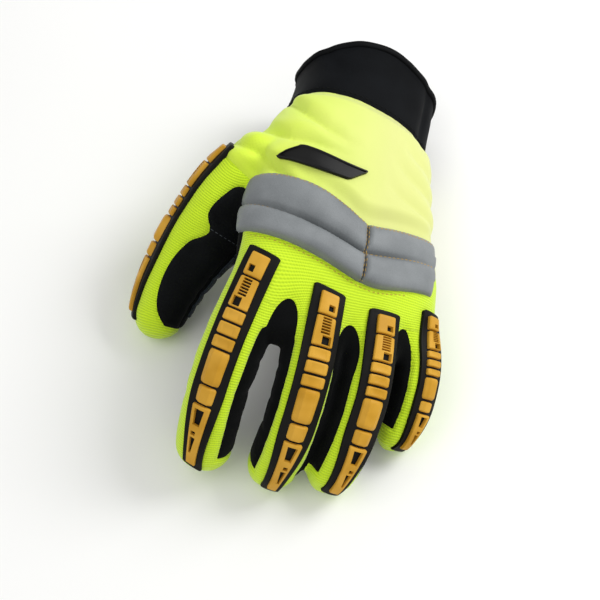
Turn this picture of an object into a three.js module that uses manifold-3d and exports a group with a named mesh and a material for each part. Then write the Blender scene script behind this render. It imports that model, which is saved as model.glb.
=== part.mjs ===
// Impact glove for the left hand, lying palm down on its fingertips, thumb and cuff.
// Millimetres, +Z up. The fingers point to -Y, the cuff opens to +Y and the thumb lies on the -X side.
// The glove is one hollow skin, cut into its sewn panels, with moulded guards and a padded bar on it.
import * as THREE from 'three';
import Module from 'manifold-3d';

const wasm = await Module();
wasm.setup();

// Hand and cuff
const backLength = 129;        // knuckle line to the cuff's mouth
const webLength = 29;          // knuckle line to the webs between the fingers
const knuckleWidth = 104;      // across the knuckles
const knuckleDepth = 38;       // back to palm at the knuckles
const knuckleHeight = 45;      // middle of the knuckles above the surface
const cuffLength = 37;         // cuff that shows beyond the wrist seam
const bindingWidth = 3;        // rolled edge round the mouth
const bindingRoll = 0.8;       // how far that edge stands out on each side
const wall = 2;                // knit, synthetic leather and cuff
const padding = 3.5;           // filling of the wrist back above its wall
const beyondSkin = 25;         // reach of a cutter past the skin
const seamGap = 0.3;           // between neighbouring panels
const restGap = 0.4;           // between a part laid on the skin and the skin

// Digits
const indexLength = 110;
const middleLength = 101;
const ringLength = 90;
const pinkyLength = 67;
const thumbLength = 119;
const indexWidth = 29;
const indexDepth = 27.5;
const middleWidth = 27;
const middleDepth = 27;
const ringWidth = 26;
const ringDepth = 26;
const pinkyWidth = 23;
const pinkyDepth = 23;
const thumbWidth = 32;
const thumbDepth = 30;
const tipLength = 12;          // rounded end of each digit
const capLength = 13;          // how far the knit wraps over the tip
const webBulge = 6;            // how far the hand's closed front rounds out between the digits

// Guards
const guardWidth = 16;
const pinkyGuardWidth = 12.5;
const guardRim = 2.6;          // dark rim beside the raised pads
const guardBase = 1.5;         // thickness of the dark strip
const guardPad = 2.8;          // height of the raised pads
const guardWeb = 0.7;          // orange layer that joins the pads
const padGroove = 1.0;         // between two pads
const padBevel = 0.9;
const guardTaperFrom = 0.62;   // share of the strip where it starts to narrow
const guardTaper = 0.42;       // share of its width lost at the tip

// Bar, label and sewn-on layers
const barThickness = 6;
const barGroove = 3.4;         // depth of the sewn channel along the bar
const barSplit = 1.2;          // between the long and the short part
const labelThickness = 1.6;
const patchThickness = 1.2;
const reflectorThickness = 0.8;
const wristBandWidth = 20;
const cuffStripWidth = 9;

const sidesOfHand = 18;
const sidesOfDigit = 10;
const sidesInHand = 14;          // of the hollow, which the wall hides
const sidesInDigit = 8;
const squareness = 2.35;       // exponent of every rounded section

// Seams round a section, in degrees: 0 is the little finger's side, 90 the nail side or the hand's back
const darkSideFrom = -42;      // the dark strips between the fingers
const darkSideTo = 35;
const palmFrom = 207;
const palmTo = 343;
const patchInset = 11;         // reinforcement within the palm
const bandInset = 8;
const barFrom = 15;
const barTo = 184;
const barSplitAngle = 83;
const paddingFrom = -5;
const paddingTo = 200;
const paddingEdge = 30;        // over which the filling swells at either side

// Places along the back, as shares of its length
const wristSeamAlong = 1 - cuffLength / backLength;
const paddingAlong = 0.06;     // over which the filling swells at either end
const paddingStart = 0.045;    // clear of the bar
const barSeamAlong = 0.16;     // seam that the bar covers
const patchFromAlong = -0.1;
const patchToAlong = 0.46;
const layerInset = 0.02;       // between a sewn-on strip and the seam beside it

// The hand from the webs to the mouth. Along is a share of the back's length from the knuckle line,
// shift and width are shares of the knuckle width, lift of the knuckle height, rise and fall of the depth.
const handRows = [
  { along: -0.169, shift: 0.03, lift: 0.896, width: 0.471, rise: 0.421, fall: 0.421, lean: 26 },
  { along: 0.000, shift: 0.03, lift: 1.007, width: 0.500, rise: 0.500, fall: 0.474, lean: 26 },
  { along: 0.171, shift: 0.02, lift: 1.027, width: 0.490, rise: 0.553, fall: 0.526, lean: 26 },
  { along: 0.358, shift: 0.01, lift: 0.984, width: 0.442, rise: 0.579, fall: 0.579, lean: 26 },
  { along: 0.561, shift: 0.01, lift: 0.898, width: 0.394, rise: 0.658, fall: 0.632, lean: 26 },
  { along: 0.702, shift: 0.02, lift: 0.804, width: 0.356, rise: 0.684, fall: 0.684, lean: 28 },
  { along: 0.882, shift: 0.04, lift: 0.700, width: 0.341, rise: 0.737, fall: 0.737, lean: 30 },
  { along: 1.000, shift: 0.05, lift: 0.680, width: 0.346, rise: 0.763, fall: 0.737, lean: 32 },
];

// A finger and the thumb from root to tip. Curl is a share of the digit's whole curl, width a share of
// its width, rise and fall of its depth.
const fingerRows = [
  { share: 0.00, curl: 0.00, width: 0.467, rise: 0.560, fall: 0.500 },
  { share: 0.30, curl: 0.10, width: 0.500, rise: 0.520, fall: 0.490 },
  { share: 0.55, curl: 0.44, width: 0.500, rise: 0.480, fall: 0.480 },
  { share: 0.75, curl: 0.72, width: 0.483, rise: 0.464, fall: 0.464 },
  { share: 0.93, curl: 0.93, width: 0.450, rise: 0.410, fall: 0.410 },
  { share: 1.00, curl: 1.00, width: 0.430, rise: 0.390, fall: 0.390 },
];
const thumbRows = [
  { share: 0.00, curl: 0.00, width: 0.280, rise: 0.100, fall: 0.450 },
  { share: 0.12, curl: 0.12, width: 0.430, rise: 0.380, fall: 0.700 },
  { share: 0.25, curl: 0.26, width: 0.500, rise: 0.500, fall: 0.850 },
  { share: 0.45, curl: 0.48, width: 0.520, rise: 0.520, fall: 0.830 },
  { share: 0.60, curl: 0.60, width: 0.500, rise: 0.500, fall: 0.660 },
  { share: 0.77, curl: 0.76, width: 0.450, rise: 0.467, fall: 0.520 },
  { share: 0.93, curl: 0.94, width: 0.400, rise: 0.400, fall: 0.430 },
  { share: 1.00, curl: 1.00, width: 0.380, rise: 0.370, fall: 0.400 },
];

// Where each digit leaves the hand. Sideways is a share of the knuckle width, above of its depth and
// forward of the back's length, all from the middle of the knuckle line. Angles are degrees: yaw turns
// towards the thumb, roll leans the nail side towards the little finger. The front panel starts at
// frontAt and runs between two seams, the knit back starts at splitAt. Seat is how far the hand's back
// lifts the knuckle end of the guard, in thicknesses of its base.
const digits = [
  { name: 'index', length: indexLength, width: indexWidth, depth: indexDepth, rows: fingerRows,
    sideways: -0.337, above: 0.08, forward: -0.070, yaw: 19, pitch: -13, roll: -4, curl: 49,
    frontFrom: 212, frontTo: 318, frontAt: 0.30, splitAt: 0.30,
    strip: guardWidth, stripFrom: 0.02, stripTo: 0.94, seat: 0.25 },
  { name: 'middle', length: middleLength, width: middleWidth, depth: middleDepth, rows: fingerRows,
    sideways: -0.096, above: 0.105, forward: 0.031, yaw: 2.5, pitch: -7.4, roll: 20.5, curl: 70,
    frontFrom: 222, frontTo: 318, frontAt: 0.26, splitAt: 0.26,
    strip: guardWidth, stripFrom: 0.02, stripTo: 0.94, seat: 0.75 },
  { name: 'ring', length: ringLength, width: ringWidth, depth: ringDepth, rows: fingerRows,
    sideways: 0.158, above: 0.08, forward: 0.073, yaw: -2, pitch: -4.9, roll: 31, curl: 62,
    frontFrom: 222, frontTo: 318, frontAt: 0.24, splitAt: 0.24,
    strip: guardWidth, stripFrom: 0.02, stripTo: 0.94, seat: 0.6 },
  { name: 'pinky', length: pinkyLength, width: pinkyWidth, depth: pinkyDepth, rows: fingerRows,
    sideways: 0.388, above: -0.05, forward: 0.031, yaw: -11, pitch: -4, roll: 43, curl: 58,
    frontFrom: 222, frontTo: 328, frontAt: 0.26, splitAt: 0.26,
    strip: pinkyGuardWidth, stripFrom: 0.02, stripTo: 0.94, seat: 1.55 },
  { name: 'thumb', length: thumbLength, width: thumbWidth, depth: thumbDepth, rows: thumbRows,
    sideways: -0.305, above: -0.263, forward: -0.595, yaw: 48, pitch: -21.5, roll: -62, curl: 30.5,
    frontFrom: 205, frontTo: 300, frontAt: 0.34, splitAt: 0.26,
    strip: guardWidth, stripFrom: 0.16, stripTo: 0.94, seat: 0 },
];

// Raised pads from knuckle to tip. Long is a share of the strip's length, height of the pad height. A
// window is a hole down to the dark strip: its place, length and width are shares of its pad.
const padRows = [
  { long: 0.150, height: 1.00, windows: [{ at: 0.72, long: 0.24, wide: 0.22, aside: 0.12 }] },
  { long: 0.165, height: 1.00, windows: [{ at: 0.70, long: 0.34, wide: 0.28, aside: 0.16 }] },
  { long: 0.062, height: 0.90, windows: [] },
  { long: 0.062, height: 0.90, windows: [] },
  { long: 0.062, height: 0.90, windows: [] },
  { long: 0.150, height: 1.00, windows: [] },
  { long: 0.085, height: 0.90, windows: [] },
  { long: 0.264, height: 1.00, windows: [{ at: 0.18, long: 0.24, wide: 0.34, aside: 0 }] },
];

// Edges of the bar across the back, as shares of the back's length. Angle runs from the little
// finger's side at 0 over the back at 90 to the thumb's side at 180. Full is a share of its thickness.
const barRows = [
  { angle: 15, bottom: 0.030, middle: 0.140, top: 0.250, full: 0.55 },
  { angle: 50, bottom: -0.005, middle: 0.100, top: 0.210, full: 0.90 },
  { angle: 85, bottom: 0.000, middle: 0.090, top: 0.197, full: 1.00 },
  { angle: 112, bottom: 0.020, middle: 0.110, top: 0.240, full: 1.00 },
  { angle: 138, bottom: 0.050, middle: 0.140, top: 0.285, full: 1.00 },
  { angle: 160, bottom: 0.090, middle: 0.180, top: 0.320, full: 0.85 },
  { angle: 184, bottom: 0.140, middle: 0.240, top: 0.345, full: 0.45 },
];

// Creases of the padded wrist back: where each crosses the thumb's side and the little finger's side
const creaseRows = [
  { thumbSide: 0.60, pinkySide: 0.52, depth: 0.85 },
  { thumbSide: 0.50, pinkySide: 0.43, depth: 1.00 },
  { thumbSide: 0.41, pinkySide: 0.33, depth: 0.75 },
];
const creaseWidth = 0.028;
const labelSmooth = 0.8;       // how much of a crease is lost beside the label
const labelAngle = 100;
const labelSpread = 32;

// Label on the wrist back, with slanted ends: its edges, as the bar's are given
const labelRows = [
  { angle: 89, bottom: 0.384, top: 0.392 },
  { angle: 111, bottom: 0.340, top: 0.408 },
  { angle: 150, bottom: 0.392, top: 0.440 },
  { angle: 168, bottom: 0.416, top: 0.424 },
];

// The dark patch on the thumb's inner side: its edge over the thumb's back, in degrees
const thumbPatchRows = [
  { share: 0.30, edge: -20 },
  { share: 0.42, edge: 4 },
  { share: 0.50, edge: -14 },
  { share: 0.62, edge: 14 },
  { share: 0.76, edge: 22 },
  { share: 0.90, edge: -12 },
];

const colours = {
  knit: 0xc4ec1e, padded: 0xd8f22a, leather: 0x1b1d1f, patch: 0x2c333a, cuff: 0x15171a,
  rubber: 0x14130f, amber: 0xd99a2c, silver: 0x7d8083, white: 0xd8d6d2,
};

const radians = THREE.MathUtils.degToRad;

// The named columns of a table at one place, with a smooth curve through its rows
function readRows(rows, key, at) {
  const last = rows.length - 1;
  let k = 0;
  while (k < last - 1 && at > rows[k + 1][key]) k += 1;
  const a = rows[k];
  const b = rows[k + 1];
  const before = rows[Math.max(k - 1, 0)];
  const after = rows[Math.min(k + 2, last)];
  const span = b[key] - a[key];
  const t = (at - a[key]) / span;
  const found = {};
  for (const name of Object.keys(a)) {
    const slopeA = (b[name] - before[name]) / (b[key] - before[key]) * span;
    const slopeB = (after[name] - a[name]) / (after[key] - a[key]) * span;
    const outside = t < 0 ? a[name] + slopeA * t : b[name] + slopeB * (t - 1);
    const inside = (2 * t ** 3 - 3 * t ** 2 + 1) * a[name] + (t ** 3 - 2 * t ** 2 + t) * slopeA
      + (3 * t ** 2 - 2 * t ** 3) * b[name] + (t ** 3 - t ** 2) * slopeB;
    found[name] = t < 0 || t > 1 ? outside : inside;
  }
  return found;
}

// A point of a rounded section at an angle, with half width and the depth above and below
function sectionPoint(width, rise, fall, angle) {
  const c = Math.cos(angle);
  const s = Math.sin(angle);
  const depth = s >= 0 ? rise : fall;
  const reach = (Math.abs(c / width) ** squareness + Math.abs(s / depth) ** squareness) ** (-1 / squareness);
  return new THREE.Vector2(c * reach, s * reach);
}

function placeIn(frame, point) {
  return frame.centre.clone().addScaledVector(frame.side, point.x).addScaledVector(frame.normal, point.y);
}

// A closed solid from flat rings of equal count, each with its outline in its own frame. An end is
// closed round its middle, or across, where the outline is one arc out and one arc back.
function sweep(stations, across = false) {
  const count = stations[0].outline.length;
  const last = stations.length - 1;
  const positions = [];
  const triangles = [];
  const put = (station, point) => {
    const placed = station.place ? station.place(point) : placeIn(station.frame, point);
    positions.push(placed.x, placed.y, placed.z);
  };
  for (const station of stations) {
    for (const point of station.outline) put(station, point);
  }
  for (let s = 0; s < last; s += 1) {
    for (let k = 0; k < count; k += 1) {
      const a = s * count + k;
      const b = s * count + (k + 1) % count;
      triangles.push(a, b, b + count, a, b + count, a + count);
    }
  }
  for (const s of [0, last]) {
    const faces = [];
    const first = s * count;
    if (across) {
      for (let k = 0; k < count / 2 - 1; k += 1) {
        const [a, b, c, d] = [k, k + 1, count - 2 - k, count - 1 - k].map((n) => n + first);
        faces.push([a, b, c], [a, c, d]);
      }
    } else {
      const hub = positions.length / 3;
      const middle = new THREE.Vector2();
      for (const point of stations[s].outline) middle.addScaledVector(point, 1 / count);
      put(stations[s], middle);
      for (let k = 0; k < count; k += 1) faces.push([first + k, first + (k + 1) % count, hub]);
    }
    for (const [a, b, c] of faces) triangles.push(...(s === 0 ? [c, b, a] : [a, b, c]));
  }
  return solidFrom(positions, triangles);
}

// Faces are turned outwards before the solid is made
function solidFrom(positions, triangles) {
  let volume = 0;
  const corner = (k) => new THREE.Vector3().fromArray(positions, 3 * k);
  for (let k = 0; k < triangles.length; k += 3) {
    const [a, b, c] = [0, 1, 2].map((j) => corner(triangles[k + j]));
    volume += a.dot(b.cross(c));
  }
  const outward = [];
  for (let k = 0; k < triangles.length; k += 3) {
    const [a, b, c] = triangles.slice(k, k + 3);
    outward.push(...(volume > 0 ? [a, b, c] : [a, c, b]));
  }
  const mesh = new wasm.Mesh({
    numProp: 3,
    vertProperties: Float32Array.from(positions),
    triVerts: Uint32Array.from(outward),
  });
  return new wasm.Manifold(mesh);
}

function spread(from, to, steps) {
  return Array.from({ length: steps + 1 }, (unused, k) => from + (to - from) * k / steps);
}

const gapAlong = seamGap / backLength;

// The hand's frame at a share of the back's length
function handFrame(along) {
  const middleOf = (at) => {
    const row = readRows(handRows, 'along', at);
    return new THREE.Vector3(row.shift * knuckleWidth, at * backLength, row.lift * knuckleHeight);
  };
  const step = 0.01;
  const centre = middleOf(along);
  const forward = middleOf(along - step).sub(middleOf(along + step)).normalize();
  const level = new THREE.Vector3(0, 0, 1).cross(forward).normalize();
  const upright = forward.clone().cross(level).normalize();
  const lean = radians(readRows(handRows, 'along', along).lean);
  const normal = upright.clone().multiplyScalar(Math.cos(lean)).addScaledVector(level, Math.sin(lean));
  const side = level.clone().multiplyScalar(Math.cos(lean)).addScaledVector(upright, -Math.sin(lean));
  return { centre, forward, side, normal };
}

const smooth = (t) => THREE.MathUtils.smoothstep(t, 0, 1);

// Filling of the wrist back over its wall, with the creases pressed into it
function paddingAt(along, angle) {
  const degrees = THREE.MathUtils.euclideanModulo(THREE.MathUtils.radToDeg(angle) + 90, 360) - 90;
  const barTop = readRows(barRows, 'angle', THREE.MathUtils.clamp(degrees, barFrom, barTo)).top;
  const fromBar = smooth((along - barTop - paddingStart) / paddingAlong);
  const toSeam = smooth((wristSeamAlong - gapAlong - along) / paddingAlong);
  const edges = smooth((degrees - paddingFrom) / paddingEdge) * smooth((paddingTo - degrees) / paddingEdge);
  let crease = 1;
  const nearLabel = 1 - labelSmooth * Math.exp(-(((degrees - labelAngle) / labelSpread) ** 2));
  for (const row of creaseRows) {
    const at = THREE.MathUtils.mapLinear(degrees, 0, 180, row.pinkySide, row.thumbSide);
    crease -= nearLabel * row.depth * Math.exp(-(((along - at) / creaseWidth) ** 2));
  }
  return padding * fromBar * toSeam * edges * Math.max(crease, 0);
}

// A point over the hand's skin: lift is its height above the plain wall
function overHand(along, angle, lift) {
  const row = readRows(handRows, 'along', along);
  const width = row.width * knuckleWidth + lift;
  const point = sectionPoint(width, row.rise * knuckleDepth + lift, row.fall * knuckleDepth + lift, angle);
  return placeIn(handFrame(along), point);
}

function handOutline(along, lift, sides) {
  const row = readRows(handRows, 'along', along);
  return spread(0, 2 * Math.PI, sides).slice(0, sides).map((angle) => {
    const more = typeof lift === 'function' ? lift(along, angle) : lift;
    const width = row.width * knuckleWidth + more;
    return sectionPoint(width, row.rise * knuckleDepth + more, row.fall * knuckleDepth + more, angle);
  });
}

// The hand between two places, closed at the webs by a rounded front
function handSolid(from, to, lift, steps, rounded) {
  const places = spread(from, to, steps);
  const stations = places.map((along) => ({
    frame: handFrame(along), outline: handOutline(along, lift, lift < 0 ? sidesInHand : sidesOfHand),
  }));
  if (rounded) {
    const first = stations[0];
    for (const { forward, keep } of [{ forward: 0.55, keep: 0.86 }, { forward: 1, keep: 0.55 }]) {
      const centre = first.frame.centre.clone().addScaledVector(first.frame.forward, webBulge * forward);
      const outline = first.outline.map((p) => new THREE.Vector2(p.x * (0.5 + keep / 2), p.y * keep));
      stations.unshift({ frame: { ...first.frame, centre }, outline });
    }
  }
  return sweep(stations);
}

// A sector of the hand's section, for cutting panels and for layers laid on the skin. High is in
// millimetres above the wall; low is too, or, below 0, a share of the way to the middle.
function handSector(places, angles, low, high, steps) {
  const [from, to] = angles.map(radians);
  const stations = places.map((along) => {
    const arc = (lift, a, b) => spread(a, b, steps).map((angle) => {
      const row = readRows(handRows, 'along', along);
      const width = row.width * knuckleWidth;
      const rise = row.rise * knuckleDepth;
      const fall = row.fall * knuckleDepth;
      if (lift >= 0) return sectionPoint(width + lift, rise + lift, fall + lift, angle);
      return sectionPoint(width, rise, fall, angle).multiplyScalar(1 + lift);
    });
    return { frame: handFrame(along), outline: [...arc(high, from, to), ...arc(low, to, from)] };
  });
  return sweep(stations, true);
}

// A digit's centre line, bent in its own plane, read back by share of its length
function makeDigit(digit) {
  const knuckle = handFrame(0);
  const root = knuckle.centre.clone()
    .addScaledVector(knuckle.side, digit.sideways * knuckleWidth)
    .addScaledVector(knuckle.normal, digit.above * knuckleDepth)
    .addScaledVector(knuckle.forward, digit.forward * backLength);
  const [yaw, pitch, roll] = [digit.yaw, digit.pitch, digit.roll].map(radians);
  const flat = Math.cos(pitch);
  const ahead = new THREE.Vector3(-Math.sin(yaw) * flat, -Math.cos(yaw) * flat, Math.sin(pitch));
  const level = new THREE.Vector3(0, 0, 1).cross(ahead).normalize();
  const upright = ahead.clone().cross(level).normalize();
  const nailSide = upright.clone().multiplyScalar(Math.cos(roll)).addScaledVector(level, Math.sin(roll));
  const steps = 60;
  const frames = [];
  const centre = root.clone();
  for (const share of spread(0, 1, steps)) {
    const bend = radians(digit.curl * readRows(digit.rows, 'share', share).curl);
    const forward = ahead.clone().multiplyScalar(Math.cos(bend)).addScaledVector(nailSide, -Math.sin(bend));
    const normal = nailSide.clone().multiplyScalar(Math.cos(bend)).addScaledVector(ahead, Math.sin(bend));
    if (share > 0) centre.addScaledVector(forward, digit.length / steps);
    frames.push({ centre: centre.clone(), forward, normal, side: normal.clone().cross(forward) });
  }
  const frameAt = (share) => {
    const at = THREE.MathUtils.clamp(share, 0, 1) * steps;
    const k = Math.min(Math.floor(at), steps - 1);
    const mix = (name) => frames[k][name].clone().lerp(frames[k + 1][name], at - k);
    const frame = {
      centre: mix('centre'), forward: mix('forward'), normal: mix('normal'), side: mix('side'),
    };
    if (share < 0 || share > 1) {
      const beyond = (share < 0 ? share : share - 1) * digit.length;
      frame.centre.addScaledVector(frame.forward, beyond);
    }
    return frame;
  };
  return { ...digit, frameAt };
}

// Half sizes of a digit's section, drawn in over its rounded tip
function digitHalves(digit, share, lift) {
  const row = readRows(digit.rows, 'share', THREE.MathUtils.clamp(share, 0, 1));
  const tipStart = 1 - tipLength / digit.length;
  const end = 1 + lift / digit.length;
  const q = THREE.MathUtils.clamp((share - tipStart) / (end - tipStart), 0, 0.985);
  const round = Math.sqrt(1 - q * q);
  return {
    width: (row.width * digit.width + lift) * round,
    rise: (row.rise * digit.depth + lift) * round,
    fall: (row.fall * digit.depth + lift) * round,
  };
}

function digitOutline(digit, share, lift, sides) {
  const half = digitHalves(digit, share, lift);
  return spread(0, 2 * Math.PI, sides).slice(0, sides)
    .map((angle) => sectionPoint(half.width, half.rise, half.fall, angle));
}

function digitSolid(digit, from, lift, steps) {
  const tipStart = 1 - tipLength / digit.length;
  const end = 1 + lift / digit.length;
  const rounding = [0.55, 0.86, 1].map((q) => tipStart + (end - tipStart) * q);
  const places = [...spread(from, tipStart, steps), ...rounding];
  return sweep(places.map((share) => ({
    frame: digit.frameAt(share),
    outline: digitOutline(digit, share, lift, lift < 0 ? sidesInDigit : sidesOfDigit),
  })));
}

// A sector of a digit's section, from near its centre line to well outside it, for cutting panels
function digitSector(digit, from, to, anglesAt, steps = 3) {
  const inside = 0.25;
  const outside = 1.5;
  return sweep(spread(from, to, steps).map((share) => {
    const half = digitHalves(digit, Math.min(share, 1 - tipLength / digit.length), 0);
    const [a, b] = anglesAt(share).map(radians);
    const arc = (scale, start, end) => spread(start, end, 2)
      .map((angle) => sectionPoint(half.width * scale, half.rise * scale, half.fall * scale, angle));
    return { frame: digit.frameAt(share), outline: [...arc(outside, a, b), ...arc(inside, b, a)] };
  }), true);
}

function boxSolid(low, high) {
  const positions = [];
  for (const z of [low.z, high.z]) {
    for (const y of [low.y, high.y]) {
      for (const x of [low.x, high.x]) positions.push(x, y, z);
    }
  }
  const faces = [[0, 2, 3, 1], [4, 5, 7, 6], [0, 1, 5, 4], [2, 6, 7, 3], [0, 4, 6, 2], [1, 3, 7, 5]];
  return solidFrom(positions, faces.flatMap(([a, b, c, d]) => [a, b, c, a, c, d]));
}

const join = (solids) => solids.reduce((whole, solid) => whole.add(solid));
const farAway = 400;
const belowLevel = (height) => boxSolid(
  new THREE.Vector3(-farAway, -farAway, -farAway), new THREE.Vector3(farAway, farAway, height),
);

// The skin: everything outside less everything inside, flattened where it rests on the surface
const hands = digits.map(makeDigit);
const [index, middle, ring, pinky, thumb] = hands;
const frontAlong = -(webLength - webBulge) / backLength;
const bindingAlong = 1 - bindingWidth / backLength;
const pastMouth = 1.1;
const outerHand = handSolid(frontAlong, bindingAlong, paddingAt, 14, true);
const innerHand = handSolid(frontAlong + wall / backLength, pastMouth, -wall, 6, true);
const outer = join([outerHand, ...hands.map((digit) => digitSolid(digit, 0.02, 0, 5))])
  .subtract(belowLevel(0));
const inner = join([innerHand, ...hands.map((digit) => digitSolid(digit, 0, -wall, 4))])
  .subtract(belowLevel(wall));
const skin = outer.subtract(inner);

// Cutting takes a panel out of what is left of the skin, with the seam's gap round it. Crossing
// seams leave small offcuts, which fall away.
const withoutOffcuts = (solid) => solid.decompose().reduce((a, b) => (b.volume() > a.volume() ? b : a));
let left = skin;
function cutOut(cutter, wider) {
  const panel = left.intersect(cutter);
  left = left.subtract(wider.add(cutter));
  return withoutOffcuts(panel);
}

const nodes = [];
function add(name, solid, colour, roughness, metalness = 0) {
  nodes.push({ name, solid, colour, roughness, metalness });
}

// Cuff with its rolled edge
const corners = [[-1, -1], [1, -1], [1, 1], [-1, 1]];
const wholeHand = (from, to) => sweep(spread(from, to, 1).map((along) => ({
  frame: handFrame(along),
  outline: corners.map(([x, y]) => new THREE.Vector2(x, y).multiplyScalar(knuckleWidth)),
})));
const cuff = cutOut(wholeHand(wristSeamAlong + gapAlong, pastMouth), wholeHand(wristSeamAlong, pastMouth));
add('cuff', cuff, colours.cuff, 0.85);
const bindingPlaces = spread(bindingAlong + gapAlong, 1, 1);
const bindingPart = (lift) => sweep(bindingPlaces.map((along) => ({
  frame: handFrame(along), outline: handOutline(along, lift, sidesOfHand),
})));
const mouthHole = handSolid(wristSeamAlong, pastMouth, -wall - bindingRoll, 4, false);
const binding = bindingPart(bindingRoll).subtract(belowLevel(0))
  .subtract(mouthHole.subtract(belowLevel(wall + bindingRoll)));
add('cuff_binding', binding, colours.leather, 0.7);

// The hand's own surface, which the thumb's panels stop at
const handCore = handSolid(frontAlong, 1, 0.6, 12, true);

// Palm side of each digit, its end covered by the knit of the back
const gapAngle = (digit) => THREE.MathUtils.radToDeg(2 * seamGap / digit.depth);
for (const digit of hands) {
  const capAt = 1 - capLength / digit.length;
  const gapShare = seamGap / digit.length;
  const wide = gapAngle(digit);
  const sector = (more) => {
    const angles = () => [digit.frontFrom - more * wide, digit.frontTo + more * wide];
    const whole = digitSector(digit, digit.frontAt - more * gapShare, capAt + more * gapShare, angles);
    return digit === thumb ? whole.subtract(handCore) : whole;
  };
  add(`${digit.name}_front`, cutOut(sector(0), sector(1)), colours.leather, 0.8);
}

// Round the web between two fingers, from a little behind it to a little beyond
function webBlock(thumbward, pinkyward, more) {
  const pair = [thumbward, pinkyward];
  const reach = [-0.13, 0.02];
  const stations = reach.map((share, k) => {
    const [a, b] = pair.map((digit) => digit.frameAt(digit.splitAt + share));
    const apart = b.centre.clone().sub(a.centre);
    const forward = a.forward.clone().add(b.forward).normalize();
    const side = apart.clone().addScaledVector(forward, -apart.dot(forward)).normalize();
    const normal = side.clone().cross(forward).normalize();
    const gap = more * seamGap;
    const centre = a.centre.clone().lerp(b.centre, 0.5).addScaledVector(forward, k === 0 ? -gap : gap);
    const halfWidth = apart.length() * 0.30 + gap;
    const halfDepth = thumbward.depth * 0.36 + gap;
    const outline = spread(0, 2 * Math.PI, 10).slice(0, 10)
      .map((angle) => sectionPoint(halfWidth, halfDepth, halfDepth, angle));
    return { frame: { centre, forward, side, normal }, outline };
  });
  return sweep(stations);
}

// Dark strips between the fingers: one side of each neighbour, joined round the web
const behindSplit = 0.1;
function betweenFingers(thumbward, pinkyward) {
  const sides = (more) => {
    const side = (digit, a, b) => {
      const capAt = 1 - capLength / digit.length;
      const gapShare = more * seamGap / digit.length;
      const wide = more * gapAngle(digit);
      const from = digit.splitAt - behindSplit - gapShare;
      return digitSector(digit, from, capAt + gapShare, () => [a - wide, b + wide]);
    };
    return join([
      side(thumbward, darkSideFrom, darkSideTo),
      side(pinkyward, 180 - darkSideTo, 180 - darkSideFrom),
      webBlock(thumbward, pinkyward, more),
    ]);
  };
  return cutOut(sides(0), sides(1));
}
add('index_middle_fourchette', betweenFingers(index, middle), colours.leather, 0.85);
add('middle_ring_fourchette', betweenFingers(middle, ring), colours.leather, 0.85);
add('ring_pinky_fourchette', betweenFingers(ring, pinky), colours.leather, 0.85);

// Dark patch on the thumb's inner side
const thumbPatchFrom = thumbPatchRows[0].share;
const patchAngles = (more) => (share) => {
  const row = readRows(thumbPatchRows, 'share', THREE.MathUtils.clamp(share, thumbPatchFrom, 0.9));
  return [thumb.frontTo - 360 - more, row.edge + more];
};
const patchEnd = 1 - capLength / thumb.length;
const thumbGap = seamGap / thumb.length;
const thumbPatch = (more) => {
  const [from, to] = [thumbPatchFrom - more * thumbGap, patchEnd + more * thumbGap];
  return digitSector(thumb, from, to, patchAngles(more * gapAngle(thumb)), 5).subtract(handCore);
};
add('thumb_patch', cutOut(thumbPatch(0), thumbPatch(1)), colours.leather, 0.85);

// Knit back of each digit
for (const digit of hands) {
  const gapShare = seamGap / digit.length;
  const block = (from) => {
    const whole = digitSolid(digit, from, 0.15, 5);
    return digit === thumb ? whole.subtract(handCore) : whole;
  };
  const back = cutOut(block(digit.splitAt + gapShare), block(digit.splitAt));
  add(`${digit.name}_back`, back, colours.knit, 0.9);
}

// Palm, knuckle back and padded wrist back
const palmPlaces = spread(-0.4, wristSeamAlong + 0.05, 5);
const palmSector = (more) => (
  handSector(palmPlaces, [palmFrom - more, palmTo + more], -0.75, beyondSkin, 4)
);
const backGap = THREE.MathUtils.radToDeg(2 * seamGap / knuckleDepth);
add('palm', cutOut(palmSector(0), palmSector(backGap)), colours.leather, 0.8);
const wristBack = cutOut(wholeHand(barSeamAlong + gapAlong, 1), wholeHand(barSeamAlong, 1));
add('wrist_back', wristBack, colours.padded, 0.75);
add('knuckle_back', withoutOffcuts(left), colours.knit, 0.9);

// Two-row padded bar across the knuckles, in a long and a short part. A puff's rows are its section,
// as shares of its width and of the bar's thickness.
const puffRows = [{ at: 0.12, height: 0.78 }, { at: 0.5, height: 1 }, { at: 0.88, height: 0.78 }];
const barEdge = barThickness * 0.35;
function barPart(from, to, steps) {
  const stations = spread(from, to, steps).map((degrees) => {
    const row = readRows(barRows, 'angle', degrees);
    const low = row.bottom;
    const high = row.top;
    const crest = row.full * barThickness;
    const edge = row.full * barEdge;
    const rowOf = (start, end) => puffRows
      .map(({ at, height }) => [THREE.MathUtils.lerp(start, end, at), height * crest]);
    const points = [
      [low, restGap], [low, edge], ...rowOf(low, row.middle), [row.middle, crest - row.full * barGroove],
      ...rowOf(row.middle, high), [high, edge], [high, restGap],
      [THREE.MathUtils.lerp(high, low, 0.33), restGap], [THREE.MathUtils.lerp(high, low, 0.67), restGap],
    ];
    const outline = points.map(([along, lift]) => new THREE.Vector2(along * backLength, lift));
    const place = (point) => overHand(point.x / backLength, radians(degrees), point.y);
    return { outline, place };
  });
  return sweep(stations);
}
const halfSplit = THREE.MathUtils.radToDeg(barSplit / knuckleWidth);
add('knuckle_bar_long', barPart(barSplitAngle + halfSplit, barTo, 13), colours.silver, 0.45);
add('knuckle_bar_short', barPart(barFrom, barSplitAngle - halfSplit, 9), colours.silver, 0.45);

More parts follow.
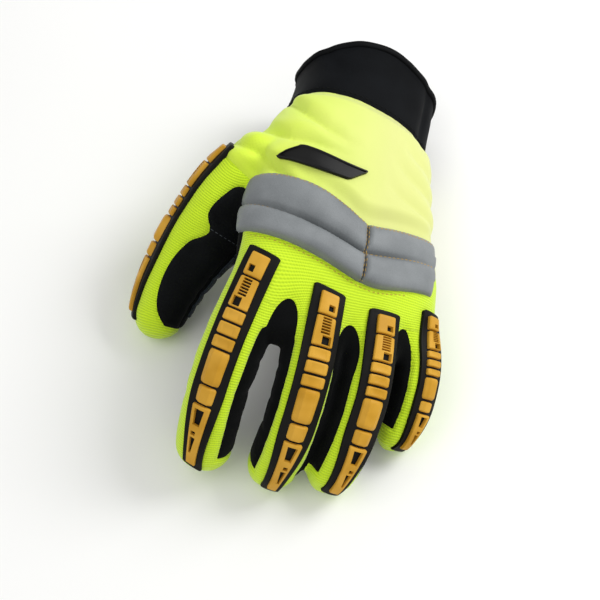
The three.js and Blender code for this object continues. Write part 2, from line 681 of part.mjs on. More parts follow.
// Guard on a digit: flat places along and across the strip are bent onto the nail side. It is stiff,
// so it follows only part of the rounding of the tip.
const tipFollow = 0.5;
const seatReach = 0.3;
const padStep = 6.5;
function guardOf(digit) {
  const stripLength = (digit.stripTo - digit.stripFrom) * digit.length;
  const taperAt = (s) => smooth((s / stripLength - guardTaperFrom) / (1 - guardTaperFrom));
  const widthAt = (s) => digit.strip * (1 - guardTaper * taperAt(s)) / 2;
  const bend = (s, t, height) => {
    const share = digit.stripFrom + s / digit.length;
    const frame = digit.frameAt(share);
    const tipStart = 1 - tipLength / digit.length;
    const skinShare = share > tipStart ? THREE.MathUtils.lerp(tipStart, share, tipFollow) : share;
    const half = digitHalves(digit, skinShare, 0);
    const across = Math.min(Math.abs(t) / half.width, 0.95);
    const seat = digit.seat * guardBase * (1 - smooth(share / seatReach));
    const skinLevel = seat + half.rise * (1 - across ** squareness) ** (1 / squareness);
    return placeIn(frame, new THREE.Vector2(t, skinLevel + height));
  };
  const stationAt = (s, points) => ({
    outline: points.map(([t, height]) => new THREE.Vector2(t, height)),
    place: (point) => bend(s, point.x, point.y),
  });
  const strip = (more) => sweep(spread(-more, stripLength + more, 12).map((s) => {
    const half = widthAt(s) + more;
    const low = restGap - more;
    const top = restGap + guardBase + more;
    return stationAt(s, [[-half, low], [-half / 2, low], [half / 2, low], [half, low],
      [half, top], [half / 2, top], [-half / 2, top], [-half, top]]);
  }));
  add(`${digit.name}_guard_base`, strip(0), colours.rubber, 0.6);

  // One layer joins the pads, with a groove between two of them
  const floor = 2 * restGap + guardBase;
  const usable = stripLength - 2 * guardRim;
  const padHalf = (s) => widthAt(s) - guardRim;
  const layerAt = (s, high) => {
    const half = padHalf(s);
    const top = half - padBevel * high / guardPad;
    return stationAt(s, [[-half, floor], [-half * 0.45, floor], [half * 0.45, floor], [half, floor],
      [top, floor + high], [-top, floor + high]]);
  };
  const stations = [];
  const holes = [];
  let start = guardRim;
  for (const row of padRows) {
    const from = start + padGroove / 2;
    const to = start + row.long * usable - padGroove / 2;
    const high = guardPad * row.height;
    stations.push(layerAt(from - padGroove / 2, guardWeb));
    const padSteps = Math.max(1, Math.round((to - from) / padStep));
    for (const s of spread(from, to, padSteps)) stations.push(layerAt(s, high));
    for (const hole of row.windows) {
      const middleAt = THREE.MathUtils.lerp(from, to, hole.at);
      const long = hole.long * (to - from);
      const wide = padHalf(middleAt) * hole.wide;
      const shift = (digit === index || digit === thumb ? -1 : 1) * hole.aside * padHalf(middleAt);
      const rim = [[shift - wide, 0], [shift + wide, 0], [shift + wide, 2 * high], [shift - wide, 2 * high]];
      const section = rim.map(([t, height]) => [t, floor - restGap + height]);
      holes.push(sweep([stationAt(middleAt - long / 2, section), stationAt(middleAt + long / 2, section)]));
    }
    start += row.long * usable;
  }
  stations.push(layerAt(start, guardWeb));
  add(`${digit.name}_guard_pads`, sweep(stations).subtract(join(holes)), colours.amber, 0.5);
}
hands.forEach(guardOf);

// Label and sewn-on layers of the palm side and the cuff
const labelLow = padding + restGap;
const labelStations = labelRows.flatMap((row, k) => {
  const next = labelRows[k + 1];
  if (!next) return [row];
  return [0, 0.33, 0.67].map((t) => ({
    angle: THREE.MathUtils.lerp(row.angle, next.angle, t),
    bottom: THREE.MathUtils.lerp(row.bottom, next.bottom, t),
    top: THREE.MathUtils.lerp(row.top, next.top, t),
  }));
});
add('label_patch', sweep(labelStations.map(({ angle, bottom, top }) => ({
  outline: [[bottom, 0], [bottom, labelThickness], [top, labelThickness], [top, 0]]
    .map(([along, height]) => new THREE.Vector2(along * backLength, labelLow + height)),
  place: (point) => overHand(point.x / backLength, radians(angle), point.y),
}))), colours.rubber, 0.6);

const layer = (places, angles, thickness, steps) => (
  handSector(places, angles, restGap, restGap + thickness, steps)
);
const patchAngleRange = [palmFrom + patchInset, palmTo - patchInset];
const palmPatch = layer(spread(patchFromAlong, patchToAlong, 5), patchAngleRange, patchThickness, 7)
  .subtract(digitSolid(thumb, 0, restGap, 5));
add('palm_patch', withoutOffcuts(palmPatch), colours.patch, 0.9);
const bandTo = wristSeamAlong - layerInset;
const bandPlaces = spread(bandTo - wristBandWidth / backLength, bandTo, 2);
const bandAngles = [palmFrom + bandInset, palmTo - bandInset];
add('wrist_reflector', layer(bandPlaces, bandAngles, reflectorThickness, 12), colours.white, 0.5);
const cuffStripPlaces = spread(wristSeamAlong + layerInset, bindingAlong - layerInset, 4);
const halfCuffWidth = handRows[handRows.length - 1].width * knuckleWidth;
const stripAngle = THREE.MathUtils.radToDeg(cuffStripWidth / halfCuffWidth);
const stripAngles = [palmFrom + bandInset, palmFrom + bandInset + stripAngle];
add('cuff_reflector', layer(cuffStripPlaces, stripAngles, reflectorThickness, 3), colours.white, 0.5);

// The named meshes, on the surface with the glove's box centred over the origin
const glove = new THREE.Group();
for (const { name, solid, colour, roughness, metalness } of nodes) {
  const { vertProperties, triVerts, numProp } = solid.getMesh();
  const geometry = new THREE.BufferGeometry();
  const vertexCount = vertProperties.length / numProp;
  const positions = new Float32Array(vertexCount * 3);
  for (let k = 0; k < vertexCount; k += 1) {
    positions.set(vertProperties.subarray(k * numProp, k * numProp + 3), 3 * k);
  }
  geometry.setAttribute('position', new THREE.BufferAttribute(positions, 3));
  geometry.setIndex(new THREE.BufferAttribute(new Uint32Array(triVerts), 1));
  geometry.computeVertexNormals();
  const material = new THREE.MeshStandardMaterial({ color: colour, roughness, metalness });
  const mesh = new THREE.Mesh(geometry, material);
  mesh.name = name;
  glove.add(mesh);
}
const reach = new THREE.Box3().setFromObject(glove);
const middleOfGlove = reach.getCenter(new THREE.Vector3());
glove.position.set(-middleOfGlove.x, -middleOfGlove.y, -reach.min.z);

export default glove;
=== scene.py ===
# Impact glove for the left hand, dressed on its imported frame.
# Shapes are worked out in millimetres in the fitting frame and become metres when a mesh is made.
import math

import bmesh
import bpy
import numpy as np
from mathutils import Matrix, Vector
from mathutils.bvhtree import BVHTree


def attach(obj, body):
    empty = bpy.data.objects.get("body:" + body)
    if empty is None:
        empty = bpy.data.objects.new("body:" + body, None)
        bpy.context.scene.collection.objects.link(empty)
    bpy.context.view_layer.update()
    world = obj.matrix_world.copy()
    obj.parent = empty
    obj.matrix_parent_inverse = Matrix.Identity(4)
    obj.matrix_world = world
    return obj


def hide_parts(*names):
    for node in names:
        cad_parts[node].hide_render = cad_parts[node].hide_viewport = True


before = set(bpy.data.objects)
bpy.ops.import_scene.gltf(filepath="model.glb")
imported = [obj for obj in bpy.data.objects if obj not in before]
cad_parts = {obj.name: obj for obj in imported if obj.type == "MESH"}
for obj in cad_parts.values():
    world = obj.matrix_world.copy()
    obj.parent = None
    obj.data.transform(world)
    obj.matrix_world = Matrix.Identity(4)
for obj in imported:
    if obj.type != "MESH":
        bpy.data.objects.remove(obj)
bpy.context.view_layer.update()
bpy.ops.object.select_all(action="DESELECT")


# Sizes and tables of the glove's form

hand = {
    "backLength": 129.0,
    "knuckleWidth": 104.0,
    "knuckleDepth": 38.0,
    "knuckleHeight": 45.0,
    "webLength": 29.0,
    "webBulge": 6.0,
    "cuffLength": 37.0,
    "squareness": 2.35,
    "placeX": 22.71,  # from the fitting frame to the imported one
    "placeY": -19.80,
    "girthRadius": 46.0,  # turns degrees round the hand into mm
}


def table(names, rows):
    columns = np.array(rows, dtype=float).T
    return dict(zip(names.split(), columns))


# Along is a share of the back's length from the knuckle line; shift and width are shares of the knuckle
# width, lift of the knuckle height, rise and fall of the knuckle depth, lean is in degrees.
handRows = table("along shift lift width rise fall lean", [
    (-0.169, 0.03, 0.896, 0.471, 0.421, 0.421, 26),
    (0.000, 0.03, 1.007, 0.500, 0.500, 0.474, 26),
    (0.171, 0.02, 1.027, 0.490, 0.553, 0.526, 26),
    (0.358, 0.01, 0.984, 0.442, 0.579, 0.579, 26),
    (0.561, 0.01, 0.898, 0.394, 0.658, 0.632, 26),
    (0.702, 0.02, 0.804, 0.356, 0.684, 0.684, 28),
    (0.882, 0.04, 0.700, 0.341, 0.737, 0.737, 30),
    (1.000, 0.05, 0.680, 0.346, 0.763, 0.737, 32),
])
fingerRows = table("share curl width rise fall", [
    (0.00, 0.00, 0.467, 0.560, 0.500),
    (0.30, 0.10, 0.500, 0.520, 0.490),
    (0.55, 0.44, 0.500, 0.480, 0.480),
    (0.75, 0.72, 0.483, 0.464, 0.464),
    (0.93, 0.93, 0.450, 0.410, 0.410),
    (1.00, 1.00, 0.430, 0.390, 0.390),
])
thumbRows = table("share curl width rise fall", [
    (0.00, 0.00, 0.280, 0.100, 0.450),
    (0.12, 0.12, 0.430, 0.380, 0.700),
    (0.25, 0.26, 0.500, 0.500, 0.850),
    (0.45, 0.48, 0.520, 0.520, 0.830),
    (0.60, 0.60, 0.500, 0.500, 0.660),
    (0.77, 0.76, 0.450, 0.467, 0.520),
    (0.93, 0.94, 0.400, 0.400, 0.430),
    (1.00, 1.00, 0.380, 0.370, 0.400),
])

# Yellow runs round each digit between two angles: 0 is the little finger's side, 90 the nail side
digitNames = ["index", "middle", "ring", "pinky", "thumb"]
digitRows = table(
    "length width depth sideways above forward yaw pitch roll curl yellowFrom yellowTo splitAt strip"
    " stripFrom stripTo slant", [
        (110, 29, 27.5, -0.337, 0.08, -0.070, 19, -13, -4, 49, 35, 212, 0.30, 16, 0.02, 0.94, 0.10),
        (101, 27, 27, -0.096, 0.105, 0.031, 2.5, -7.4, 20.5, 70, 35, 145, 0.26, 16, 0.02, 0.94, 0.20),
        (90, 26, 26, 0.158, 0.08, 0.073, -2, -4.9, 31, 62, 35, 145, 0.24, 16, 0.02, 0.94, 0.0),
        (67, 23, 23, 0.388, -0.05, 0.031, -11, -4, 43, 58, -32, 145, 0.26, 12.5, 0.02, 0.94, 0.0),
        (119, 32, 30, -0.305, -0.263, -0.595, 48, -21.5, -62, 30.5, 0, 205, 0.26, 16, 0.16, 0.94, 0.0),
    ])
tipLength = 12.0
capLength = 13.0  # yellow over each fingertip
thumbCapLength = 9.0

# Edge of the dark patch over the thumb's back, in degrees
thumbPatchRows = table("share edge", [
    (0.20, -14),
    (0.32, 3),
    (0.42, 7),
    (0.485, -12),
    (0.56, 8),
    (0.66, 20),
    (0.78, 20),
    (0.87, 6),
    (0.94, -30),
])

# Edges of the bar over the knuckles, and its seam between the rows, as shares of the back's length
barRows = table("angle bottom middle top", [
    (15, 0.030, 0.140, 0.250),
    (50, -0.005, 0.100, 0.210),
    (85, 0.000, 0.090, 0.197),
    (112, 0.020, 0.110, 0.240),
    (138, 0.050, 0.140, 0.285),
    (160, 0.090, 0.180, 0.320),
    (184, 0.140, 0.240, 0.345),
])
barSpan = (15, 184)
wristSeam = 1 - hand["cuffLength"] / hand["backLength"]

# The cuff's open edge: place along, rise over the middle of the back and dip at the sides, as shares
cuffEdge = {"along": 0.992, "backRise": 0.026, "sideDip": 0.040, "middle": 100.0}


# Curves and sections

def unit(vectors):
    return vectors / np.linalg.norm(vectors, axis=-1, keepdims=True)


def smooth(t):
    t = np.clip(t, 0, 1)
    return t * t * (3 - 2 * t)


def bell(distance, width):
    return np.exp(-((distance / width) ** 2))


def rounding(distance, radius, power=2):
    # height of a rounded edge, from 0 at the edge to 1 a radius inside it
    return np.sqrt(np.clip(1 - np.clip(1 - distance / radius, 0, 1) ** power, 0, 1))


def readRows(columns, key, at):
    keys = columns[key]
    at = np.asarray(at, dtype=float)
    last = len(keys) - 1
    k = np.searchsorted(keys[1:last], at, side="left")
    before = np.maximum(k - 1, 0)
    after = np.minimum(k + 2, last)
    span = keys[k + 1] - keys[k]
    t = (at - keys[k]) / span
    found = {}
    for name, column in columns.items():
        a = column[k]
        b = column[k + 1]
        slopeA = (b - column[before]) / (keys[k + 1] - keys[before]) * span
        slopeB = (column[after] - a) / (keys[after] - keys[k]) * span
        inside = (2 * t ** 3 - 3 * t ** 2 + 1) * a + (t ** 3 - 2 * t ** 2 + t) * slopeA
        inside += (3 * t ** 2 - 2 * t ** 3) * b + (t ** 3 - t ** 2) * slopeB
        found[name] = np.where(t < 0, a + slopeA * t, np.where(t > 1, b + slopeB * (t - 1), inside))
    return found


def barRowsAt(degrees):
    return readRows(barRows, "angle", np.clip(degrees, *barSpan))


def sectionReach(width, rise, fall, angle):
    c = np.abs(np.cos(angle))
    s = np.abs(np.sin(angle))
    depth = np.where(np.sin(angle) >= 0, rise, fall)
    power = hand["squareness"]
    return ((c / width) ** power + (s / depth) ** power) ** (-1 / power)


def rimAlong(degrees):
    # the open edge stands highest over the middle of the back and dips at both sides
    turned = np.radians(np.asarray(degrees) - cuffEdge["middle"])
    toMiddle = np.cos(turned) ** 2
    rise = np.where(np.cos(turned) > 0, cuffEdge["backRise"] + cuffEdge["sideDip"], cuffEdge["sideDip"])
    return cuffEdge["along"] - cuffEdge["sideDip"] + rise * toMiddle


def handMiddle(along):
    row = readRows(handRows, "along", along)
    x = row["shift"] * hand["knuckleWidth"]
    return np.stack([x, along * hand["backLength"], row["lift"] * hand["knuckleHeight"]], -1)


def handFrames(along):
    along = np.atleast_1d(np.asarray(along, dtype=float))
    forward = unit(handMiddle(along - 0.01) - handMiddle(along + 0.01))
    level = unit(np.cross([0, 0, 1], forward))
    upright = unit(np.cross(forward, level))
    lean = np.radians(readRows(handRows, "along", along)["lean"])[:, None]
    normal = upright * np.cos(lean) + level * np.sin(lean)
    side = level * np.cos(lean) - upright * np.sin(lean)
    return {"centre": handMiddle(along), "forward": forward, "side": side, "normal": normal}


def handHalves(along, lift=0.0):
    row = readRows(handRows, "along", along)
    width = row["width"] * hand["knuckleWidth"] + lift
    return width, row["rise"] * hand["knuckleDepth"] + lift, row["fall"] * hand["knuckleDepth"] + lift


def overHand(along, angle, lift=0.0):
    frames = handFrames(along)
    reach = sectionReach(*handHalves(along, lift), angle)[:, None]
    across = frames["side"] * np.cos(angle)[:, None] + frames["normal"] * np.sin(angle)[:, None]
    return frames["centre"] + across * reach


def makeDigit(k):
    digit = {name: float(column[k]) for name, column in digitRows.items()}
    digit["name"] = digitNames[k]
    digit["rows"] = thumbRows if digit["name"] == "thumb" else fingerRows
    knuckle = {name: vectors[0] for name, vectors in handFrames(0.0).items()}
    root = knuckle["centre"] + knuckle["side"] * digit["sideways"] * hand["knuckleWidth"]
    root = root + knuckle["normal"] * digit["above"] * hand["knuckleDepth"]
    root = root + knuckle["forward"] * digit["forward"] * hand["backLength"]
    yaw, pitch, roll = (math.radians(digit[name]) for name in ("yaw", "pitch", "roll"))
    flat = math.cos(pitch)
    ahead = np.array([-math.sin(yaw) * flat, -math.cos(yaw) * flat, math.sin(pitch)])
    level = unit(np.cross([0, 0, 1], ahead))
    upright = unit(np.cross(ahead, level))
    nailSide = upright * math.cos(roll) + level * math.sin(roll)
    steps = 60
    shares = np.linspace(0, 1, steps + 1)
    bend = np.radians(digit["curl"] * readRows(digit["rows"], "share", shares)["curl"])[:, None]
    forward = ahead * np.cos(bend) - nailSide * np.sin(bend)
    normal = nailSide * np.cos(bend) + ahead * np.sin(bend)
    strides = np.vstack([np.zeros(3), forward[1:] * digit["length"] / steps])
    digit["centre"] = root + np.cumsum(strides, axis=0)
    digit["forwardAt"] = forward
    digit["normalAt"] = normal
    digit["sideAt"] = np.cross(normal, forward)
    return digit


def digitFrames(digit, share):
    share = np.atleast_1d(np.asarray(share, dtype=float))
    last = len(digit["centre"]) - 1
    at = np.clip(share, 0, 1) * last
    k = np.minimum(at.astype(int), last - 1)
    t = (at - k)[:, None]

    def mix(name):
        return digit[name][k] * (1 - t) + digit[name][k + 1] * t

    forward = unit(mix("forwardAt"))
    beyond = (share - np.clip(share, 0, 1))[:, None] * digit["length"]
    return {
        "centre": mix("centre") + forward * beyond,
        "forward": forward,
        "side": unit(mix("sideAt")),
        "normal": unit(mix("normalAt")),
    }


def digitHalves(digit, share, lift=0.0, rounded=True):
    row = readRows(digit["rows"], "share", np.clip(share, 0, 1))
    tipStart = 1 - tipLength / digit["length"]
    end = 1 + lift / digit["length"]
    q = np.clip((share - tipStart) / (end - tipStart), 0, 0.998)
    narrowing = np.sqrt(1 - q * q) if rounded else 1.0
    width = (row["width"] * digit["width"] + lift) * narrowing
    rise = (row["rise"] * digit["depth"] + lift) * narrowing
    return width, rise, (row["fall"] * digit["depth"] + lift) * narrowing


digits = [makeDigit(k) for k in range(len(digitNames))]
index, _, _, pinky, thumb = digits


def gridFaces(rows, columns, closed):
    faces = []
    for r in range(rows - 1):
        for c in range(columns if closed else columns - 1):
            d = (c + 1) % columns
            faces.append((r * columns + c, r * columns + d, (r + 1) * columns + d, (r + 1) * columns + c))
    return faces


def tubeMesh(rings):
    rows, columns = rings.shape[:2]
    points = rings.reshape(-1, 3)
    hubs = rings[[0, -1]].mean(axis=1)
    faces = gridFaces(rows, columns, True)
    first = rows * columns
    for c in range(columns):
        d = (c + 1) % columns
        faces.append((d, c, first))
        faces.append(((rows - 1) * columns + c, (rows - 1) * columns + d, first + 1))
    return np.vstack([points, hubs]), faces


def newObject(name, points, faces, closed=True):
    mesh = bpy.data.meshes.new(name)
    placed = (np.asarray(points) + [hand["placeX"], hand["placeY"], 0]) / 1000
    mesh.from_pydata(placed.tolist(), [], [tuple(int(v) for v in face) for face in faces])
    mesh.validate()
    if closed:
        made = bmesh.new()
        made.from_mesh(mesh)
        bmesh.ops.recalc_face_normals(made, faces=made.faces)
        made.to_mesh(mesh)
        made.free()
    mesh.shade_smooth()
    piece = bpy.data.objects.new(name, mesh)
    bpy.context.scene.collection.objects.link(piece)
    return piece


def readMesh(piece):
    mesh = piece.evaluated_get(bpy.context.evaluated_depsgraph_get()).data
    points = np.empty(len(mesh.vertices) * 3)
    mesh.vertices.foreach_get("co", points)
    mesh.calc_loop_triangles()
    triangles = np.empty(len(mesh.loop_triangles) * 3, dtype=int)
    mesh.loop_triangles.foreach_get("vertices", triangles)
    points = points.reshape(-1, 3) * 1000 - [hand["placeX"], hand["placeY"], 0]
    return points, triangles.reshape(-1, 3)


def edgesOf(triangles):
    pairs = np.sort(np.vstack([triangles[:, [0, 1]], triangles[:, [1, 2]], triangles[:, [2, 0]]]), axis=1)
    return np.unique(pairs, axis=0)


def relax(points, edges, weight, rounds):
    count = len(points)
    degree = np.bincount(edges.ravel(), minlength=count)[:, None]
    for _ in range(rounds):
        total = np.stack([
            np.bincount(edges[:, 0], points[edges[:, 1], axis], count)
            + np.bincount(edges[:, 1], points[edges[:, 0], axis], count)
            for axis in range(points.shape[1])
        ], axis=-1)
        points = points + (total / degree - points) * weight[:, None]
    return points


def normalsOf(points, triangles):
    a, b, c = (points[triangles[:, k]] for k in range(3))
    faceNormals = np.cross(b - a, c - a)
    total = np.stack([
        sum(np.bincount(triangles[:, k], faceNormals[:, axis], len(points)) for k in range(3))
        for axis in range(3)
    ], axis=-1)
    return total / np.maximum(np.linalg.norm(total, axis=1, keepdims=True), 1e-9)


# The glove's outside as one closed skin: hand and digits joined, then softened where they meet

skin = {
    "handSides": 96,
    "handRings": 92,
    "handEnd": 1.05,
    "webRings": 6,
    "digitSides": 64,
    "digitRings": 60,
    "tipRings": 11,
    "voxel": 0.95,
    "floor": 0.25,
    "seamDepth": 0.75,
    "seamWidth": 1.25,
    "hullFrom": 1.5,
    "hullFade": 6,
    "webFrom": 0.2,
    "webNarrowing": 0.8,
}

# Smoothing of the skin: how far each point moves to the mean of its neighbours, and how many times
smoothing = {
    "first": 0.4,
    "firstRounds": 4,
    "least": 0.02,
    "atJoins": 0.5,
    "joinRounds": 60,
    "last": 0.3,
    "lastRounds": 2,
    "ribs": 0.6,
    "ribRounds": 90,
}


def circle(sides):
    return np.linspace(0, 2 * np.pi, sides + 1)[:-1]


def handTube():
    front = -(hand["webLength"] - hand["webBulge"]) / hand["backLength"]
    angle = circle(skin["handSides"])
    rings = []
    for along in np.linspace(skin["handEnd"], front, skin["handRings"]):
        rings.append(overHand(np.full(len(angle), along), angle))
    first = handFrames(front)
    middlePoint = first["centre"][0]
    forward = first["forward"][0]
    spokes = rings[-1] - middlePoint
    sideways = (spokes @ first["side"][0])[:, None] * first["side"][0]
    upward = (spokes @ first["normal"][0])[:, None] * first["normal"][0]
    for q in np.linspace(skin["webFrom"], 1, skin["webRings"]):
        keep = math.sqrt(1 - (skin["webNarrowing"] * q) ** 2)
        ahead = forward * hand["webBulge"] * q
        rings.append(middlePoint + ahead + sideways * (0.5 + keep / 2) + upward * keep)
    return tubeMesh(np.array(rings))


def digitTube(digit):
    tipStart = 1 - tipLength / digit["length"]
    turns = np.linspace(0, np.pi / 2, skin["tipRings"] + 1)[1:]
    tipPlaces = tipStart + (1.0 - tipStart) * np.sin(turns)
    places = np.concatenate([np.linspace(0.02, tipStart, skin["digitRings"]), tipPlaces])
    angle = circle(skin["digitSides"])
    frames = digitFrames(digit, places)
    halves = digitHalves(digit, places)
    rings = []
    for k in range(len(places)):
        reach = sectionReach(halves[0][k], halves[1][k], halves[2][k], angle)[:, None]
        across = np.cos(angle)[:, None] * frames["side"][k] + np.sin(angle)[:, None] * frames["normal"][k]
        rings.append(frames["centre"][k] + across * reach)
    return tubeMesh(np.array(rings))


def joinedSkin(voxel):
    points = []
    faces = []
    count = 0
    for part in [handTube()] + [digitTube(digit) for digit in digits]:
        points.append(part[0])
        faces += [tuple(v + count for v in face) for face in part[1]]
        count += len(part[0])
    raw = newObject("skin_raw", np.vstack(points), faces)
    remesh = raw.modifiers.new("remesh", "REMESH")
    remesh.mode = "VOXEL"
    remesh.voxel_size = voxel / 1000
    remesh.adaptivity = 0
    found = readMesh(raw)
    bpy.data.objects.remove(raw)
    return found


def locate(points, frames, halves):
    # each point's place along a row of frames, its angle and radius there, and how far it stands off the
    # section
    count = len(frames["centre"])
    centres = frames["centre"]
    nearest = np.empty(len(points), dtype=int)
    blockSize = 20000
    for start in range(0, len(points), blockSize):
        block = points[start:start + blockSize]
        square = (centres ** 2).sum(axis=1)[None, :] - 2 * block @ centres.T
        nearest[start:start + blockSize] = square.argmin(axis=1)
    stride = np.linalg.norm(np.diff(centres, axis=0), axis=1).mean()
    ahead = ((points - centres[nearest]) * frames["forward"][nearest]).sum(axis=1) / stride
    at = np.where((nearest == 0) | (nearest == count - 1), nearest + ahead, nearest + np.clip(ahead, -1, 1))
    k = np.clip(at.astype(int), 0, count - 2)
    t = np.clip(at - k, 0, 1)[:, None]
    mixed = {name: vectors[k] * (1 - t) + vectors[k + 1] * t for name, vectors in frames.items()}
    offset = points - mixed["centre"]
    x = (offset * mixed["side"]).sum(axis=1)
    y = (offset * mixed["normal"]).sum(axis=1)
    angle = np.arctan2(y, x)
    size = [column[k] * (1 - t[:, 0]) + column[k + 1] * t[:, 0] for column in halves]
    radius = np.hypot(x, y)
    return {
        "at": at / (count - 1),
        "degrees": np.mod(np.degrees(angle) + 90, 360) - 90,
        "radius": radius,
        "excess": radius - sectionReach(*size, angle),
    }


def locateOnHand(points):
    start, end = 1.1, -0.4
    places = np.linspace(start, end, 240)
    found = locate(points, handFrames(places), handHalves(places))
    found["along"] = start + (end - start) * found["at"]
    return found


def locateOnDigit(points, digit):
    start, end = -0.25, 1.2
    places = np.linspace(start, end, 220)
    found = locate(points, digitFrames(digit, places), digitHalves(digit, places, rounded=False))
    found["share"] = start + (end - start) * found["at"]
    return found


# Which panel each place of the skin belongs to, as signed distances in millimetres from the seams

darkEdges = {
    "handFrom": -17,
    "handTo": 207,
    "thumbBack": 180,
    "thumbPalm": 205,
    "thumbFront": 270,
    "thumbFrontOver": 40,
    "thumbStart": 0.235,
    "cornerEase": 1.5,
}
gusset = {"along": 0.12, "halfLong": 0.115, "degrees": 199, "halfRound": 21, "deep": 12}

# Rounded dark ends between two neighbouring fingers, in mm; only before is a share of the finger's length
webs = [
    {"pair": (0, 1), "back": 15, "half": 6.5},
    {"pair": (1, 2), "back": 12, "half": 5.5},
    {"pair": (2, 3), "back": 12, "half": 5.5},
]
webPlace = {"ahead": 6, "front": 16.0, "before": 0.05}

# Where a digit takes over from the hand: mm off its section, and share before its split from the hand
takeOver = {"off": 1.0, "offOver": 5.0, "before": 0.09, "over": 0.11}


def thumbEdge(share):
    first, last = thumbPatchRows["share"][[0, -1]]
    return readRows(thumbPatchRows, "share", np.clip(share, first, last))["edge"]


def darkOnDigit(digit, place):
    share = place["share"]
    degrees = place["degrees"]
    radius = place["radius"] * math.pi / 180
    length = digit["length"]
    if digit is thumb:
        top = (thumbEdge(share) - degrees) * radius
        # the palm side lies between the two seams, past the dark patch
        frontEdge = (darkEdges["thumbFront"] - degrees) * radius + darkEdges["thumbFrontOver"]
        palmward = np.minimum((degrees - darkEdges["thumbPalm"]) * radius, frontEdge)
        wrapped = np.where(degrees > darkEdges["thumbBack"], palmward, top)
        dark = np.minimum(wrapped, (share - darkEdges["thumbStart"]) * length)
    else:
        right = (digit["yellowFrom"] - degrees) * radius
        left = (degrees - digit["yellowTo"]) * radius
        dark = np.where(degrees > 90, left, right)
    cap = thumbCapLength if digit is thumb else capLength
    return np.minimum(dark, (1 - cap / length - share) * length)


def webRing(pair, points):
    # places across, along and above the web between two fingers, and how far apart these are
    thumbward, pinkyward = (
        digitFrames(digits[k], digits[k]["splitAt"] - webPlace["before"]) for k in pair)
    a = thumbward["centre"][0]
    b = pinkyward["centre"][0]
    forward = unit(thumbward["forward"][0] + pinkyward["forward"][0])
    upward = unit(thumbward["normal"][0] + pinkyward["normal"][0])
    apart = b - a
    side = unit(apart - forward * (apart @ forward))
    offset = points - (a + b) / 2
    return offset @ side, offset @ forward, offset @ upward, np.linalg.norm(apart)


def panelFields(points):
    onHand = locateOnHand(points)
    places = [locateOnDigit(points, digit) for digit in digits]
    degrees = onHand["degrees"]
    radius = onHand["radius"] * math.pi / 180
    handDark = -np.minimum(degrees - darkEdges["handFrom"], darkEdges["handTo"] - degrees) * radius
    # the gusset between thumb and index reaches up to the bar's end
    lengthwise = (onHand["along"] - gusset["along"]) / gusset["halfLong"]
    crosswise = (degrees - gusset["degrees"]) / gusset["halfRound"]
    handDark = np.maximum(handDark, (1 - np.hypot(lengthwise, crosswise)) * gusset["deep"])
    owner = np.full(len(points), -1)
    strength = np.zeros(len(points))
    mixed = np.zeros(len(points))
    for k, (digit, place) in enumerate(zip(digits, places)):
        near = 1 - smooth((place["excess"] - takeOver["off"]) / takeOver["offOver"])
        beyond = place["share"] - digit["splitAt"] + takeOver["before"]
        reach = smooth(beyond / takeOver["over"]) * near
        better = reach > strength
        mixed = np.where(better, darkOnDigit(digit, place), mixed)
        owner = np.where(better, k, owner)
        strength = np.where(better, reach, strength)
    dark = handDark * (1 - strength) + mixed * strength
    for web in webs:
        x, y, _, _ = webRing(web["pair"], points)
        reach = np.where(y < webPlace["ahead"], web["back"], webPlace["front"])
        ring = (1 - np.hypot(x / web["half"], (y - webPlace["ahead"]) / reach)) * web["half"]
        # the two edges run into each other in a small curve
        dark = (dark + ring + np.sqrt((dark - ring) ** 2 + darkEdges["cornerEase"])) / 2
    return {"hand": onHand, "digits": places, "dark": dark, "owner": owner, "strength": strength}


def ribPlace(fields):
    # ribs run across hand and digits alike, so their count in mm is blended where these meet
    leastWeight = 0.05
    digitWeight = 3
    handFade = 2.5
    handFrom = 0.12
    handOver = 0.25
    digitFade = 1.5
    digitFrom = 0.25
    digitOver = 0.3
    base = -fields["hand"]["along"] * hand["backLength"]
    weight = np.exp(-np.maximum(fields["hand"]["excess"], 0) / handFade)
    weight *= smooth((fields["hand"]["along"] + handFrom) / handOver)
    total = leastWeight + weight
    value = base * total
    for digit, place in zip(digits, fields["digits"]):
        join = digit["splitAt"] - webPlace["before"]
        at = locateOnHand(digitFrames(digit, join)["centre"])["along"][0]
        lengthAt = place["share"] * digit["length"] + (-at * hand["backLength"] - join * digit["length"])
        weight = np.exp(-np.maximum(place["excess"], 0) / digitFade)
        weight *= smooth((place["share"] - digit["splitAt"] + digitFrom) / digitOver)
        value = value + lengthAt * weight * digitWeight
        total = total + weight * digitWeight
    return value / total


# Folds and fullness pressed into the skin

paddedBack = {
    "height": 3.6,
    "fade": 0.06,
    "fromBar": 0.03,
    "toCuff": 0.004,
    "edgeFrom": -5,
    "edgeTo": 200,
    "edgeFade": 30,
    "creaseFrom": -17,
    "creaseFromFade": 12,
    "creaseTo": 207,
    "creaseToFade": 34,
    "fullBeside": 6.5,
    "fullWidth": 4.5,
    "full": 0.30,
    "sharp": 0.6,
    "broad": 2.2,
}

